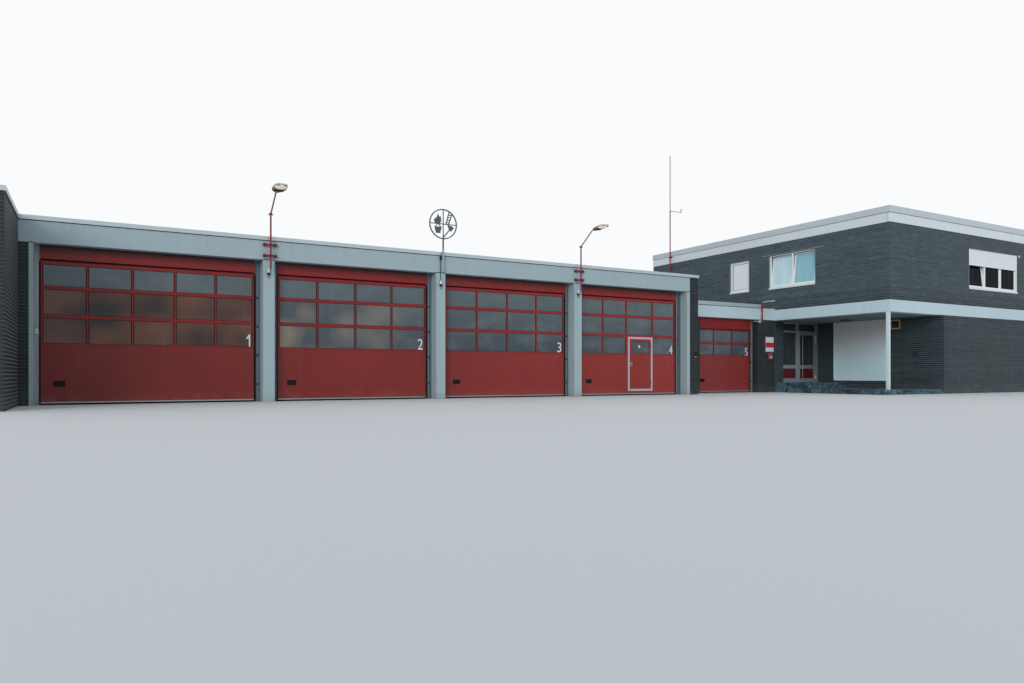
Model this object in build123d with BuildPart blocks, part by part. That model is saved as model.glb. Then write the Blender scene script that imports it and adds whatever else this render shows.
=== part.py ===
"""Fire station: a four-bay vehicle hall, a lower link with a fifth bay and a two-storey office.

Millimetres, +Z up, X along the street front, Y from the street to the rear. The origin is the
centre of the footprint at ground level.
"""

import os

from build123d import *

os.makedirs("parts", exist_ok=True)

# Masonry and slabs
brick_wall = 365
wing_wall = 465
gable_wall = 415
floor_screed = 40
roof_slab = 250

# Vehicle hall, from its left outer face to its right gable
hall_depth = 12500
left_jamb = 217
left_pilaster = 87
first_opening = 5303
pier_width = 310
pier_depth = 500
bay_pitch = 5170
bay_count = 4
right_pilaster = 145
wing_length = 3000
fascia_depth = 400
hall_fascia_bottom = 3915
hall_fascia_top = 4450
hall_coping_height = 107
hall_roof_bottom = 4100
coping_overhang = 30
rear_pier_proud = 20

# Sectional doors of the hall
door_setback = 340
leaf_thickness = 50
leaf_gap = 4
first_guides = (125, 170)
middle_guides = (145, 195)
last_guides = (145, 300)
guide_setback = 10
guide_thickness = 80
lintel_bottom = 3575
lintel_thickness = 55
lintel_clearance = 5
leaf_top = 3600
bottom_rail_height = 70
lower_seam = 800
middle_seam = 1475
glazed_pitch = 703
section_rail = 38
top_rail = 125
door_stile = 55
door_mullion = 48
glass_recess = 20
glass_thickness = 8
glass_lap = 15
lift_recess_width = 230
lift_recess_height = 120
lift_recess_depth = 22
lift_recess_from_edge = 280
lift_recess_bottom = 460
fourth_door_mullions = (1025, 2080, 3310)

# Wicket door in the fourth bay
wicket_frame_bottom = 156
wicket_frame_width = 75
wicket_frame_proud = 12
wicket_left = 2150
wicket_outer_width = 1155
door_clearance = 8
wicket_pane_margin = 75
wicket_pane_bottom = 1525
wicket_pane_top = 1975
wicket_handle_height = 1130
wicket_handle_inset = 85

# Link between hall and office
link_length = 5790
link_setback = 1300
link_door_setback = 300
link_left_jamb = 1339
link_pillar_width = 1090
link_pillar_depth = 540
link_guides = (40, 160)
link_fascia_bottom = 3130
link_fascia_top = 3630
link_coping_height = 150
link_roof_bottom = 3300
link_lintel_bottom = 2680
link_leaf_top = 2720
link_seam = 1540
link_upper_seam = 2080
link_top_rail = 60

# Office block
office_length = 11710
office_depth = 13360
office_projection = 4020
entrance_level = 400
storey_bottom = 3130
storey_top = 3580
upper_slab = 250
upper_wall_top = 6500
roof_fascia_top = 6860
roof_fascia_proud = 15
roof_coping_height = 250

# Porch and entrance
porch_width = 3520
porch_depth = 5860
column_side = 110
column_setback = 40
platform_height = 180
platform_margin = 387
platform_proud = 12
landing_depth = 1510
entrance_brick = 1160
entrance_recess = 60
entrance_frame_depth = 70
frame_member = 60
sidelight_width = 913
post_width = 190
entrance_door_width = 1120
transom_bottom = 2685
transom_height = 75
panel_bottom = 590
panel_top = 1040
mid_rail_top = 1200
entrance_stile = 90
pane_thickness = 24
panel_thickness = 30
board_thickness = 30
boards_front = 2320
boards_length = 2680
boards_bottom = 490
boards_top = 3125
hatch_front = 1820
hatch_width = 450
hatch_height = 390
hatch_bottom = 2680
hatch_frame = 45

# Windows of the upper storey
double_width = 2390
double_sill = 4540
double_height = 1460
single_width = 1160
single_sill = 4560
single_height = 1420
wide_width = 3740
wide_sill = 4320
wide_height = 1640
double_from_front = 3270
single_from_front = 6790
wide_from_corner = 5293
rear_from_corner = 1900
rear_pitch = 5500
right_from_front = 8100
window_setback = 60
window_frame_width = 55
window_frame_depth = 70
sash_width = 65
sash_depth = 60
sash_play = 0.3
tilt_angle = 6
shutter_drop = 690
slat_pitch = 53
shutter_thickness = 12
shutter_setback = 25

# Hinges, handles and fittings
hinge_radius = 9
hinge_length = 110
hinge_plate = 3
hinge_reach = 45
wicket_hinge_inset = 200
entrance_hinge_drop = 400
rosette_radius = 28
rosette_thickness = 10
lever_radius = 10
lever_reach = 50
lever_length = 120
pull_radius = 14
pull_inset = 188
pull_standoff = 60
pull_overrun = 40
pull_foot_radius = 9
lamp_offset = 20
lamp_pole_radius = 24
lamp_arm_radius = 19
lamp_standoff = 150
lamp_pole_bottom = 3720
lamp_kink = 5150
lamp_arm_reach = 680
lamp_arm_rise = 460
lamp_spigot = 60
clamp_radius = 42
clamp_height = 56
clamp_width = 130
clamp_thickness = 20
lamp_head_length = 680
lamp_head_width = 350
lamp_head_tilt = 5
lamp_tray_depth = 32
lamp_hood_height = 52
lamp_hood_taper = 38
bracket_width = 340
bracket_standoff = 70
bracket_end_radius = 38
bracket_neck_radius = 14
bracket_stem = 44
bracket_heights = (4020, 4320)
emblem_radius = 467
emblem_band = 34
emblem_bar = 24
emblem_depth = 30
emblem_height = 5415
emblem_offset = 40
emblem_pole_radius = 26
emblem_sleeve_radius = 35
emblem_sleeve_top = 4680
emblem_pole_bottom = 3940
emblem_standoff = 90
emblem_clamp_width = 44
emblem_clamp_height = 130
mast_radius = 28
mast_bottom = 4900
mast_top = 12030
mast_standoff = 90
mast_step = 9200
mast_from_front = 11960
mast_arm_length = 750
mast_arm_radius = 14
mast_stub_radius = 20
mast_stub_length = 200
mast_clips = (5100, 6200)
clip_size = 70
post_inset = 916
post_bottom = 3000
post_top = 3900
post_radius = 30
post_standoff = 100
post_arm_length = 660
post_arm_radius = 18
post_clips = (3230, 3530)
pier_light_offset = -15
pier_light_radius = 38
pier_light_height = 110
pier_light_bottom = 3550
pier_light_standoff = 50
pier_light_base = 50
pier_light_stem = 40
switch_side = 80
switch_height = 120
switch_depth = 50
right_switch_bottom = 1490
left_switch_bottom = 1740
switch_margin = 10
sign_left = 617
sign_width = 520
sign_bottom = 1738
sign_height = 665
sign_thickness = 12
box_left = 430
box_width = 176
box_bottom = 1447
box_height = 217
box_depth = 60
wall_lamp_inset = 33
wall_lamp_width = 80
wall_lamp_bottom = 2985
wall_lamp_height = 115
wall_lamp_depth = 90
wall_lamp_pipe = 330
wall_lamp_pipe_radius = 12
plaque_front = 1020
plaque_width = 290
plaque_bottom = 1490
plaque_height = 190
plaque_thickness = 10
ceiling_light_from_left = 1980
ceiling_light_from_front = 3185
ceiling_light_side = 470
ceiling_light_depth = 20

# Places along the front, left to right
front_length = (
    wing_wall + left_jamb + left_pilaster + first_opening + (bay_count - 1) * bay_pitch
    + right_pilaster + gable_wall + link_length + office_length
)
hall_left = -front_length / 2
hall_inside_left = hall_left + wing_wall
first_bay_left = hall_inside_left + left_jamb + left_pilaster
first_pier_left = first_bay_left + first_opening
hall_inside_right = first_pier_left + (bay_count - 1) * bay_pitch + right_pilaster
hall_right = hall_inside_right + gable_wall
office_left = hall_right + link_length
office_right = office_left + office_length

# Places from the street to the rear
office_front = -(office_projection + hall_depth) / 2
hall_front = office_front + office_projection
hall_rear = hall_front + hall_depth
wing_front = hall_front - wing_length
link_front = hall_front + link_setback
office_rear = office_front + office_depth
leaf_front = hall_front + door_setback
link_leaf_front = link_front + link_door_setback
entrance_wall = office_front + porch_depth
entrance_front = entrance_wall + entrance_recess

floor_front = leaf_front + guide_setback + guide_thickness
link_floor_front = link_leaf_front + guide_setback + guide_thickness

# Openings of the five vehicle doors, and their leaves between the guides
pier_lefts = [first_pier_left + index * bay_pitch for index in range(bay_count - 1)]
bay_openings = [(first_bay_left, first_pier_left)]
for index in range(1, bay_count):
    opening_left = pier_lefts[index - 1] + pier_width
    bay_openings.append((opening_left, first_pier_left + index * bay_pitch))
bay_guides = (first_guides, middle_guides, middle_guides, last_guides)
leaf_edges = [(opening[0] + guides[0], opening[1] - guides[1])
              for opening, guides in zip(bay_openings, bay_guides)]
link_opening = (hall_right + link_left_jamb, office_left - link_pillar_width)
link_leaf = (link_opening[0] + link_guides[0], link_opening[1] - link_guides[1])

porch_wall_left = office_left + porch_width
porch_wall_right = porch_wall_left + brick_wall
inner_left = office_left + brick_wall
inner_right = office_right - brick_wall
inner_front = office_front + brick_wall
inner_rear = office_rear - brick_wall
inner_entrance = entrance_wall + brick_wall


def at_x(x):
    """A plane across the building at x, with local axes Y and Z and its normal along +X."""
    return Plane.YZ.offset(x)


def at_y(y):
    """A plane along the front at y, with local axes X and Z and its normal towards the street."""
    return Plane.XZ.offset(-y)


def at_z(z):
    """A level plane at height z, with local axes X and Y and its normal upwards."""
    return Plane.XY.offset(z)


def rect(a0, a1, b0, b1, mode=Mode.ADD):
    """Draw a rectangle between two pairs of coordinates of the open sketch."""
    with Locations(((a0 + a1) / 2, (b0 + b1) / 2)):
        Rectangle(a1 - a0, b1 - b0, mode=mode)


def slab(plane, amount, outline, holes=(), mode=Mode.ADD):
    """Add a rectangular slab with rectangular holes to the open part."""
    with BuildSketch(plane) as profile:
        rect(*outline)
        for hole in holes:
            rect(*hole, mode=Mode.SUBTRACT)
    extrude(profile.sketch, amount=amount, mode=mode)


def rod(start, end, radius):
    """Add a round bar between two points to the open part."""
    direction = Vector(*end) - Vector(*start)
    with BuildSketch(Plane(origin=start, z_dir=direction)) as section:
        Circle(radius)
    extrude(section.sketch, amount=direction.length)


def column_edges(left, right, stile, mullions):
    """Glass columns between two stiles, as pairs of left and right edges."""
    edges = []
    start = left + stile
    for centre in mullions:
        edges.append((start, centre - door_mullion / 2))
        start = centre + door_mullion / 2
    edges.append((start, right - stile))
    return edges


def even_mullions(left, right, count):
    """Mullion centres that share a leaf into equal columns."""
    return [left + (right - left) * step / count for step in range(1, count)]


# Ground slabs of the hall and the link
with BuildPart() as vehicle_floors:
    slab(
        at_z(0), floor_screed,
        (hall_inside_left, hall_inside_right, floor_front, hall_rear - brick_wall),
        [(hall_inside_left, first_bay_left, floor_front, hall_front + pier_depth)]
        + [(left, left + pier_width, floor_front, hall_front + pier_depth) for left in pier_lefts]
        + [(hall_inside_right - right_pilaster, hall_inside_right,
            floor_front, hall_front + pier_depth)],
    )
    slab(
        at_z(0), floor_screed,
        (hall_right, office_left, link_floor_front, inner_rear),
        [(hall_right, link_opening[0], link_floor_front, link_front + link_pillar_depth),
         (link_opening[1], office_left, link_floor_front, link_front + link_pillar_depth)],
    )
vehicle_floors.part.label = "vehicle_floors"
export_step(vehicle_floors.part, "parts/vehicle_floors.step")

# Left side wall, which runs on towards the street as a wing wall
with BuildPart() as hall_left_wall:
    slab(at_z(0), hall_fascia_top, (hall_left, hall_inside_left, wing_front, hall_rear))
hall_left_wall.part.label = "hall_left_wall"
export_step(hall_left_wall.part, "parts/hall_left_wall.step")

with BuildPart() as hall_right_wall:
    slab(at_z(0), hall_fascia_top, (hall_inside_right, hall_right, hall_front, hall_rear))
hall_right_wall.part.label = "hall_right_wall"
export_step(hall_right_wall.part, "parts/hall_right_wall.step")

# Brick jambs beside the first and the fifth door
with BuildPart() as front_jambs:
    slab(
        at_z(0), hall_fascia_bottom,
        (hall_inside_left, hall_inside_left + left_jamb, hall_front, hall_front + pier_depth),
    )
    slab(
        at_z(0), link_fascia_bottom,
        (hall_right, link_opening[0], link_front, link_front + link_pillar_depth),
    )
front_jambs.part.label = "front_jambs"
export_step(front_jambs.part, "parts/front_jambs.step")

# Concrete piers between the bays, at both ends of the front and along the rear
with BuildPart() as piers:
    with BuildSketch(at_z(0)) as pier_plan:
        rect(first_bay_left - left_pilaster, first_bay_left, hall_front, hall_front + pier_depth)
        for left in pier_lefts:
            rect(left, left + pier_width, hall_front, hall_front + pier_depth)
            rect(left, left + pier_width, hall_rear - brick_wall, hall_rear + rear_pier_proud)
        rect(hall_inside_right - right_pilaster, hall_inside_right,
             hall_front, hall_front + pier_depth)
    extrude(pier_plan.sketch, amount=hall_fascia_bottom)
piers.part.label = "piers"
export_step(piers.part, "parts/piers.step")

# Rear wall of the hall, in brick panels between the piers
with BuildPart() as hall_rear_wall:
    slab(
        at_z(0), hall_fascia_bottom,
        (hall_inside_left, hall_inside_right, hall_rear - brick_wall, hall_rear),
        [(left, left + pier_width, hall_rear - brick_wall, hall_rear) for left in pier_lefts],
    )
hall_rear_wall.part.label = "hall_rear_wall"
export_step(hall_rear_wall.part, "parts/hall_rear_wall.step")

# Concrete edge beams along the front and the rear
with BuildPart() as hall_fascia:
    for beam_front in (hall_front, hall_rear - fascia_depth):
        slab(
            at_z(hall_fascia_bottom), hall_fascia_top - hall_fascia_bottom,
            (hall_inside_left, hall_inside_right, beam_front, beam_front + fascia_depth),
        )
hall_fascia.part.label = "hall_fascia"
export_step(hall_fascia.part, "parts/hall_fascia.step")

# Metal coping round the hall roof and along the wing wall
with BuildPart() as hall_coping:
    with BuildSketch(at_z(hall_fascia_top)) as coping_plan:
        rect(hall_left - coping_overhang, hall_right + coping_overhang,
             hall_front - coping_overhang, hall_rear + coping_overhang)
        rect(hall_inside_left, hall_inside_right,
             hall_front + fascia_depth, hall_rear - fascia_depth, mode=Mode.SUBTRACT)
        rect(hall_left - coping_overhang, hall_inside_left + coping_overhang,
             wing_front - coping_overhang, hall_front)
    extrude(coping_plan.sketch, amount=hall_coping_height)
hall_coping.part.label = "hall_coping"
export_step(hall_coping.part, "parts/hall_coping.step")

with BuildPart() as hall_roof:
    slab(
        at_z(hall_roof_bottom), roof_slab,
        (hall_inside_left, hall_inside_right, hall_front + fascia_depth, hall_rear - fascia_depth),
    )
hall_roof.part.label = "hall_roof"
export_step(hall_roof.part, "parts/hall_roof.step")

# Red panels between the door heads and the fascia
with BuildPart() as door_lintels:
    for left, right in leaf_edges:
        slab(
            at_y(leaf_front - lintel_clearance), lintel_thickness,
            (left, right, lintel_bottom, hall_fascia_bottom),
        )
    slab(
        at_y(link_leaf_front - lintel_clearance), lintel_thickness,
        (*link_leaf, link_lintel_bottom, link_fascia_bottom),
    )
door_lintels.part.label = "door_lintels"
export_step(door_lintels.part, "parts/door_lintels.step")


def glass_rows(seams, glazed_from, upper_rail):
    """Lower and upper edges of the glass in each glazed section."""
    rows = []
    for lower, upper in zip(seams, seams[1:]):
        if lower >= glazed_from:
            head = upper_rail if upper == seams[-1] else section_rail
            rows.append((lower + section_rail, upper - head))
    return rows


def door_leaf(left, right, front, seams, rows, columns):
    """Add a sectional leaf: plain sections below, and glazed ones with a rebate above."""
    back = at_y(front + leaf_thickness)
    for lower, upper in zip(seams, seams[1:]):
        holes = [(a, b, *row) for row in rows if lower < row[0] < upper for a, b in columns]
        slab(back, leaf_thickness,
             (left, right, lower + leaf_gap / 2, upper - leaf_gap / 2), holes)
    for row in rows:
        slab(back, leaf_thickness - glass_recess, sheet(columns, row), mode=Mode.SUBTRACT)
    recess_left = left + lift_recess_from_edge
    slab(at_y(front + lift_recess_depth), lift_recess_depth,
         (recess_left, recess_left + lift_recess_width,
          lift_recess_bottom, lift_recess_bottom + lift_recess_height), mode=Mode.SUBTRACT)


def sheet(columns, row):
    """Outline of the sheet of glass behind one row of panes, lapping its rails."""
    return (columns[0][0] - glass_lap, columns[-1][1] + glass_lap,
            row[0] - glass_lap, row[1] + glass_lap)


hall_seams = [bottom_rail_height, lower_seam, middle_seam, middle_seam + glazed_pitch,
              middle_seam + 2 * glazed_pitch, leaf_top]
link_seams = [bottom_rail_height, lower_seam, link_seam, link_upper_seam, link_leaf_top]
hall_rows = glass_rows(hall_seams, middle_seam, leaf_top - lintel_bottom + top_rail)
link_rows = glass_rows(link_seams, link_seam,
                       link_leaf_top - link_lintel_bottom + link_top_rail)

door_columns = []
for index, (left, right) in enumerate(leaf_edges):
    mullions = even_mullions(left, right, 5 if index == 0 else 4)
    if index == bay_count - 1:
        mullions = [left + place for place in fourth_door_mullions]
    door_columns.append(column_edges(left, right, door_stile, mullions))
link_columns = column_edges(*link_leaf, door_stile, even_mullions(*link_leaf, 3))

# The wicket's place in the fourth leaf
wicket_outer_left = leaf_edges[-1][0] + wicket_left
wicket_outer_right = wicket_outer_left + wicket_outer_width
wicket_inner_left = wicket_outer_left + wicket_frame_width
wicket_inner_right = wicket_outer_right - wicket_frame_width
wicket_inner_bottom = wicket_frame_bottom + wicket_frame_width
wicket_frame_top = hall_seams[3] - section_rail
wicket_inner_top = wicket_frame_top - wicket_frame_width
wicket_front = leaf_front - wicket_frame_proud
wicket_outline = (wicket_outer_left, wicket_outer_right, wicket_frame_bottom, wicket_frame_top)

for number in range(1, bay_count + 1):
    left, right = leaf_edges[number - 1]
    with BuildPart() as bay_door:
        door_leaf(left, right, leaf_front, hall_seams, hall_rows, door_columns[number - 1])
        if number == bay_count:
            slab(at_y(leaf_front + leaf_thickness), leaf_thickness, wicket_outline,
                 mode=Mode.SUBTRACT)
    bay_door.part.label = f"bay_door_{number}"
    export_step(bay_door.part, f"parts/bay_door_{number}.step")

with BuildPart() as link_door:
    door_leaf(*link_leaf, link_leaf_front, link_seams, link_rows, link_columns)
link_door.part.label = "link_door"
export_step(link_door.part, "parts/link_door.step")

# One sheet of glass closes the panes of each glazed section from behind
with BuildPart() as door_glazing:
    for columns in door_columns:
        for row in hall_rows:
            slab(at_y(leaf_front + glass_recess + glass_thickness), glass_thickness,
                 sheet(columns, row))
    slab(at_y(leaf_front + leaf_thickness), leaf_thickness, wicket_outline, mode=Mode.SUBTRACT)
    for row in link_rows:
        slab(at_y(link_leaf_front + glass_recess + glass_thickness), glass_thickness,
             sheet(link_columns, row))
door_glazing.part.label = "door_glazing"
export_step(door_glazing.part, "parts/door_glazing.step")

# Guide rails beside each leaf
with BuildPart() as door_guides:
    for opening, leaf in zip(bay_openings, leaf_edges):
        for left, right in ((opening[0], leaf[0]), (leaf[1], opening[1])):
            slab(at_y(leaf_front + guide_setback + guide_thickness), guide_thickness,
                 (left, right, 0, hall_fascia_bottom))
    for left, right in ((link_opening[0], link_leaf[0]), (link_leaf[1], link_opening[1])):
        slab(at_y(link_leaf_front + guide_setback + guide_thickness), guide_thickness,
             (left, right, 0, link_fascia_bottom))
door_guides.part.label = "door_guides"
export_step(door_guides.part, "parts/door_guides.step")

# Aluminium foot of each leaf
with BuildPart() as door_bottom_rails:
    for left, right in leaf_edges:
        slab(at_y(leaf_front + leaf_thickness), leaf_thickness,
             (left, right, 0, bottom_rail_height + leaf_gap / 2))
    slab(at_y(link_leaf_front + leaf_thickness), leaf_thickness,
         (*link_leaf, 0, bottom_rail_height + leaf_gap / 2))
door_bottom_rails.part.label = "door_bottom_rails"
export_step(door_bottom_rails.part, "parts/door_bottom_rails.step")

with BuildPart() as wicket_frame:
    slab(at_y(leaf_front + leaf_thickness), leaf_thickness + wicket_frame_proud,
         wicket_outline,
         [(wicket_inner_left, wicket_inner_right, wicket_inner_bottom, wicket_inner_top)])
wicket_frame.part.label = "wicket_frame"
export_step(wicket_frame.part, "parts/wicket_frame.step")

wicket_pane = (wicket_inner_left + wicket_pane_margin, wicket_inner_right - wicket_pane_margin,
               wicket_pane_bottom, wicket_pane_top)

with BuildPart() as wicket_leaf:
    slab(at_y(wicket_front + leaf_thickness), leaf_thickness,
         (wicket_inner_left + door_clearance, wicket_inner_right - door_clearance,
          wicket_inner_bottom + door_clearance, wicket_inner_top - door_clearance),
         [wicket_pane])
wicket_leaf.part.label = "wicket_leaf"
export_step(wicket_leaf.part, "parts/wicket_leaf.step")

with BuildPart() as wicket_glass:
    slab(at_y(wicket_front + glass_recess + pane_thickness), pane_thickness, wicket_pane)
wicket_glass.part.label = "wicket_glass"
export_step(wicket_glass.part, "parts/wicket_glass.step")


def hinges(axis_x, front, heights):
    """Add hinge barrels in front of a leaf, each on a plate that lies on the leaf's face."""
    pin_y = front - hinge_radius
    for height in heights:
        slab(at_y(front), hinge_plate,
             (axis_x - hinge_reach, axis_x - door_clearance / 2, height, height + hinge_length))
        rod((axis_x, pin_y, height), (axis_x, pin_y, height + hinge_length), hinge_radius)


wicket_axis_x = wicket_inner_right - door_clearance / 2
handle_x = wicket_inner_left + wicket_handle_inset
with BuildPart() as wicket_fittings:
    hinges(wicket_axis_x, wicket_front,
           (wicket_inner_bottom + wicket_hinge_inset,
            wicket_inner_top - wicket_hinge_inset - hinge_length))
    rod((handle_x, wicket_front, wicket_handle_height),
        (handle_x, wicket_front - rosette_thickness, wicket_handle_height), rosette_radius)
    rod((handle_x, wicket_front, wicket_handle_height),
        (handle_x, wicket_front - lever_reach, wicket_handle_height), lever_radius)
    rod((handle_x - lever_radius, wicket_front - lever_reach, wicket_handle_height),
        (handle_x + lever_length, wicket_front - lever_reach, wicket_handle_height), lever_radius)
wicket_fittings.part.label = "wicket_fittings"
export_step(wicket_fittings.part, "parts/wicket_fittings.step")

# Brick pillar between the fifth door and the porch
with BuildPart() as link_pillar:
    slab(at_z(0), link_fascia_bottom,
         (link_opening[1], office_left, link_front, link_front + link_pillar_depth))
link_pillar.part.label = "link_pillar"
export_step(link_pillar.part, "parts/link_pillar.step")

with BuildPart() as link_rear_wall:
    slab(at_z(0), link_fascia_bottom, (hall_right, office_left, inner_rear, office_rear))
link_rear_wall.part.label = "link_rear_wall"
export_step(link_rear_wall.part, "parts/link_rear_wall.step")

with BuildPart() as link_fascia:
    for beam_front in (link_front, office_rear - fascia_depth):
        slab(
            at_z(link_fascia_bottom), link_fascia_top - link_fascia_bottom,
            (hall_right, office_left, beam_front, beam_front + fascia_depth),
        )
link_fascia.part.label = "link_fascia"
export_step(link_fascia.part, "parts/link_fascia.step")

# The front coping ends at the red post
with BuildPart() as link_coping:
    slab(at_z(link_fascia_top), link_coping_height,
         (hall_right, office_left - post_inset,
          link_front - coping_overhang, link_front + fascia_depth))
    slab(at_z(link_fascia_top), link_coping_height,
         (hall_right, office_left, office_rear - fascia_depth, office_rear + coping_overhang))
link_coping.part.label = "link_coping"
export_step(link_coping.part, "parts/link_coping.step")

with BuildPart() as link_roof:
    slab(at_z(link_roof_bottom), roof_slab,
         (hall_right, office_left, link_front + fascia_depth, office_rear - fascia_depth))
link_roof.part.label = "link_roof"
export_step(link_roof.part, "parts/link_roof.step")

# Raised ground slab of the office, out to the entrance threshold
with BuildPart() as office_floor:
    with BuildSketch(at_z(0)) as floor_plan:
        rect(inner_left, inner_right, inner_entrance, inner_rear)
        rect(porch_wall_right, inner_right, inner_front, inner_entrance)
        rect(office_left + entrance_brick, porch_wall_left, entrance_wall, inner_entrance)
    extrude(floor_plan.sketch, amount=entrance_level)
office_floor.part.label = "office_floor"
export_step(office_floor.part, "parts/office_floor.step")

# Windows: start along the wall, width, sill height, height, and a letter for each sash seen from
# outside, t for one that is tilted into the room and c for a closed one
double_size = (double_width, double_sill, double_height)
left_windows = [(single_from_front, single_width, single_sill, single_height, "c"),
                (double_from_front, *double_size, "tt")]
front_windows = [(wide_from_corner, wide_width, wide_sill, wide_height, "tcc")]
rear_windows = [(rear_from_corner, *double_size, "cc"),
                (rear_from_corner + rear_pitch, *double_size, "cc")]
right_windows = [(right_from_front, *double_size, "cc")]


def wall_holes(start, windows):
    """Window openings as rectangles, with their start measured along the wall."""
    return [(start + along, start + along + width, sill, sill + height)
            for along, width, sill, height, _ in windows]


with BuildPart() as office_left_wall:
    slab(at_x(office_left), brick_wall, (entrance_wall, inner_rear, 0, storey_bottom))
    slab(at_x(office_left), brick_wall, (office_front, office_rear, storey_top, upper_wall_top),
         wall_holes(office_front, left_windows))
office_left_wall.part.label = "office_left_wall"
export_step(office_left_wall.part, "parts/office_left_wall.step")

with BuildPart() as office_front_wall:
    slab(at_y(inner_front), brick_wall, (porch_wall_right, office_right, 0, storey_bottom))
    slab(at_y(inner_front), brick_wall, (inner_left, office_right, storey_top, upper_wall_top),
         wall_holes(office_left, front_windows))
office_front_wall.part.label = "office_front_wall"
export_step(office_front_wall.part, "parts/office_front_wall.step")

with BuildPart() as office_right_wall:
    slab(at_x(inner_right), brick_wall, (inner_front, office_rear, 0, storey_bottom))
    slab(at_x(inner_right), brick_wall, (inner_front, office_rear, storey_top, upper_wall_top),
         wall_holes(office_front, right_windows))
office_right_wall.part.label = "office_right_wall"
export_step(office_right_wall.part, "parts/office_right_wall.step")

with BuildPart() as office_rear_wall:
    slab(at_y(office_rear), brick_wall, (office_left, inner_right, 0, storey_bottom))
    slab(at_y(office_rear), brick_wall, (inner_left, inner_right, storey_top, upper_wall_top),
         wall_holes(office_left, rear_windows))
office_rear_wall.part.label = "office_rear_wall"
export_step(office_rear_wall.part, "parts/office_rear_wall.step")

with BuildPart() as porch_back_wall:
    slab(at_z(0), storey_bottom,
         (inner_left, office_left + entrance_brick, entrance_wall, inner_entrance))
porch_back_wall.part.label = "porch_back_wall"
export_step(porch_back_wall.part, "parts/porch_back_wall.step")

hatch_start = office_front + hatch_front
hatch_hole = (hatch_start, hatch_start + hatch_width, hatch_bottom, hatch_bottom + hatch_height)
with BuildPart() as porch_side_wall:
    slab(at_x(porch_wall_left), brick_wall, (office_front, inner_entrance, 0, storey_bottom),
         [hatch_hole])
porch_side_wall.part.label = "porch_side_wall"
export_step(porch_side_wall.part, "parts/porch_side_wall.step")


def ring(bottom, height, proud, depth):
    """Add a level ring round the office, proud of its walls and as deep as given."""
    slab(at_z(bottom), height,
         (office_left - proud, office_right + proud, office_front - proud, office_rear + proud),
         [(office_left + depth, office_right - depth, office_front + depth, office_rear - depth)])


with BuildPart() as canopy_band:
    ring(storey_bottom, storey_top - storey_bottom, 0, brick_wall)
canopy_band.part.label = "canopy_band"
export_step(canopy_band.part, "parts/canopy_band.step")

with BuildPart() as upper_floor:
    slab(at_z(storey_bottom), upper_slab, (inner_left, inner_right, inner_front, inner_rear))
upper_floor.part.label = "upper_floor"
export_step(upper_floor.part, "parts/upper_floor.step")

with BuildPart() as roof_fascia:
    ring(upper_wall_top, roof_fascia_top - upper_wall_top, roof_fascia_proud, brick_wall)
roof_fascia.part.label = "roof_fascia"
export_step(roof_fascia.part, "parts/roof_fascia.step")

with BuildPart() as office_roof:
    slab(at_z(upper_wall_top), roof_slab, (inner_left, inner_right, inner_front, inner_rear))
office_roof.part.label = "office_roof"
export_step(office_roof.part, "parts/office_roof.step")

with BuildPart() as roof_coping:
    ring(roof_fascia_top, roof_coping_height, coping_overhang, brick_wall)
roof_coping.part.label = "roof_coping"
export_step(roof_coping.part, "parts/roof_coping.step")


def window_planes():
    """Each window as its plane at the lower left corner, seen from outside, and its data."""
    placed = []
    for along, width, sill, height, sashes in left_windows:
        corner = (office_left, office_front + along + width, sill)
        placed.append((Plane(origin=corner, x_dir=(0, -1, 0), z_dir=(-1, 0, 0)),
                       width, height, sashes))
    for along, width, sill, height, sashes in front_windows:
        corner = (office_left + along, office_front, sill)
        placed.append((Plane(origin=corner, x_dir=(1, 0, 0), z_dir=(0, -1, 0)),
                       width, height, sashes))
    for along, width, sill, height, sashes in right_windows:
        corner = (office_right, office_front + along, sill)
        placed.append((Plane(origin=corner, x_dir=(0, 1, 0), z_dir=(1, 0, 0)),
                       width, height, sashes))
    for along, width, sill, height, sashes in rear_windows:
        corner = (office_left + along + width, office_rear, sill)
        placed.append((Plane(origin=corner, x_dir=(-1, 0, 0), z_dir=(0, 1, 0)),
                       width, height, sashes))
    return placed


def sash_places(width, height, sashes):
    """Openings between the frame's posts as left edge and width, with their clear height."""
    count = len(sashes)
    clear = (width - (count + 1) * window_frame_width) / count
    lefts = [window_frame_width + index * (clear + window_frame_width) for index in range(count)]
    return [(left, clear) for left in lefts], height - 2 * window_frame_width


with BuildPart() as window_frames:
    for plane, width, height, sashes in window_planes():
        lights, clear_height = sash_places(width, height, sashes)
        slab(plane.offset(-window_setback - window_frame_depth), window_frame_depth,
             (0, width, 0, height),
             [(left, left + clear, window_frame_width, window_frame_width + clear_height)
              for left, clear in lights])
window_frames.part.label = "window_frames"
export_step(window_frames.part, "parts/window_frames.step")


def sash_plane(plane, left, tilted):
    """Inner face of a sash, leaning into the room about its lower inner edge when it is tilted."""
    corner = plane.offset(-window_setback - window_frame_depth).location * Location(
        (left + sash_play, window_frame_width + sash_play, 0))
    lean = Location((0, 0, 0), (-tilt_angle if tilted else 0, 0, 0))
    return Plane(corner * lean)


with BuildPart() as window_sashes:
    for plane, width, height, sashes in window_planes():
        lights, clear_height = sash_places(width, height, sashes)
        for index, (left, clear) in enumerate(lights):
            sash_clear = clear - 2 * sash_play
            sash_height = clear_height - 2 * sash_play
            slab(sash_plane(plane, left, sashes[index] == "t"), sash_depth,
                 (0, sash_clear, 0, sash_height),
                 [(sash_width, sash_clear - sash_width, sash_width, sash_height - sash_width)])
window_sashes.part.label = "window_sashes"
export_step(window_sashes.part, "parts/window_sashes.step")

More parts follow.
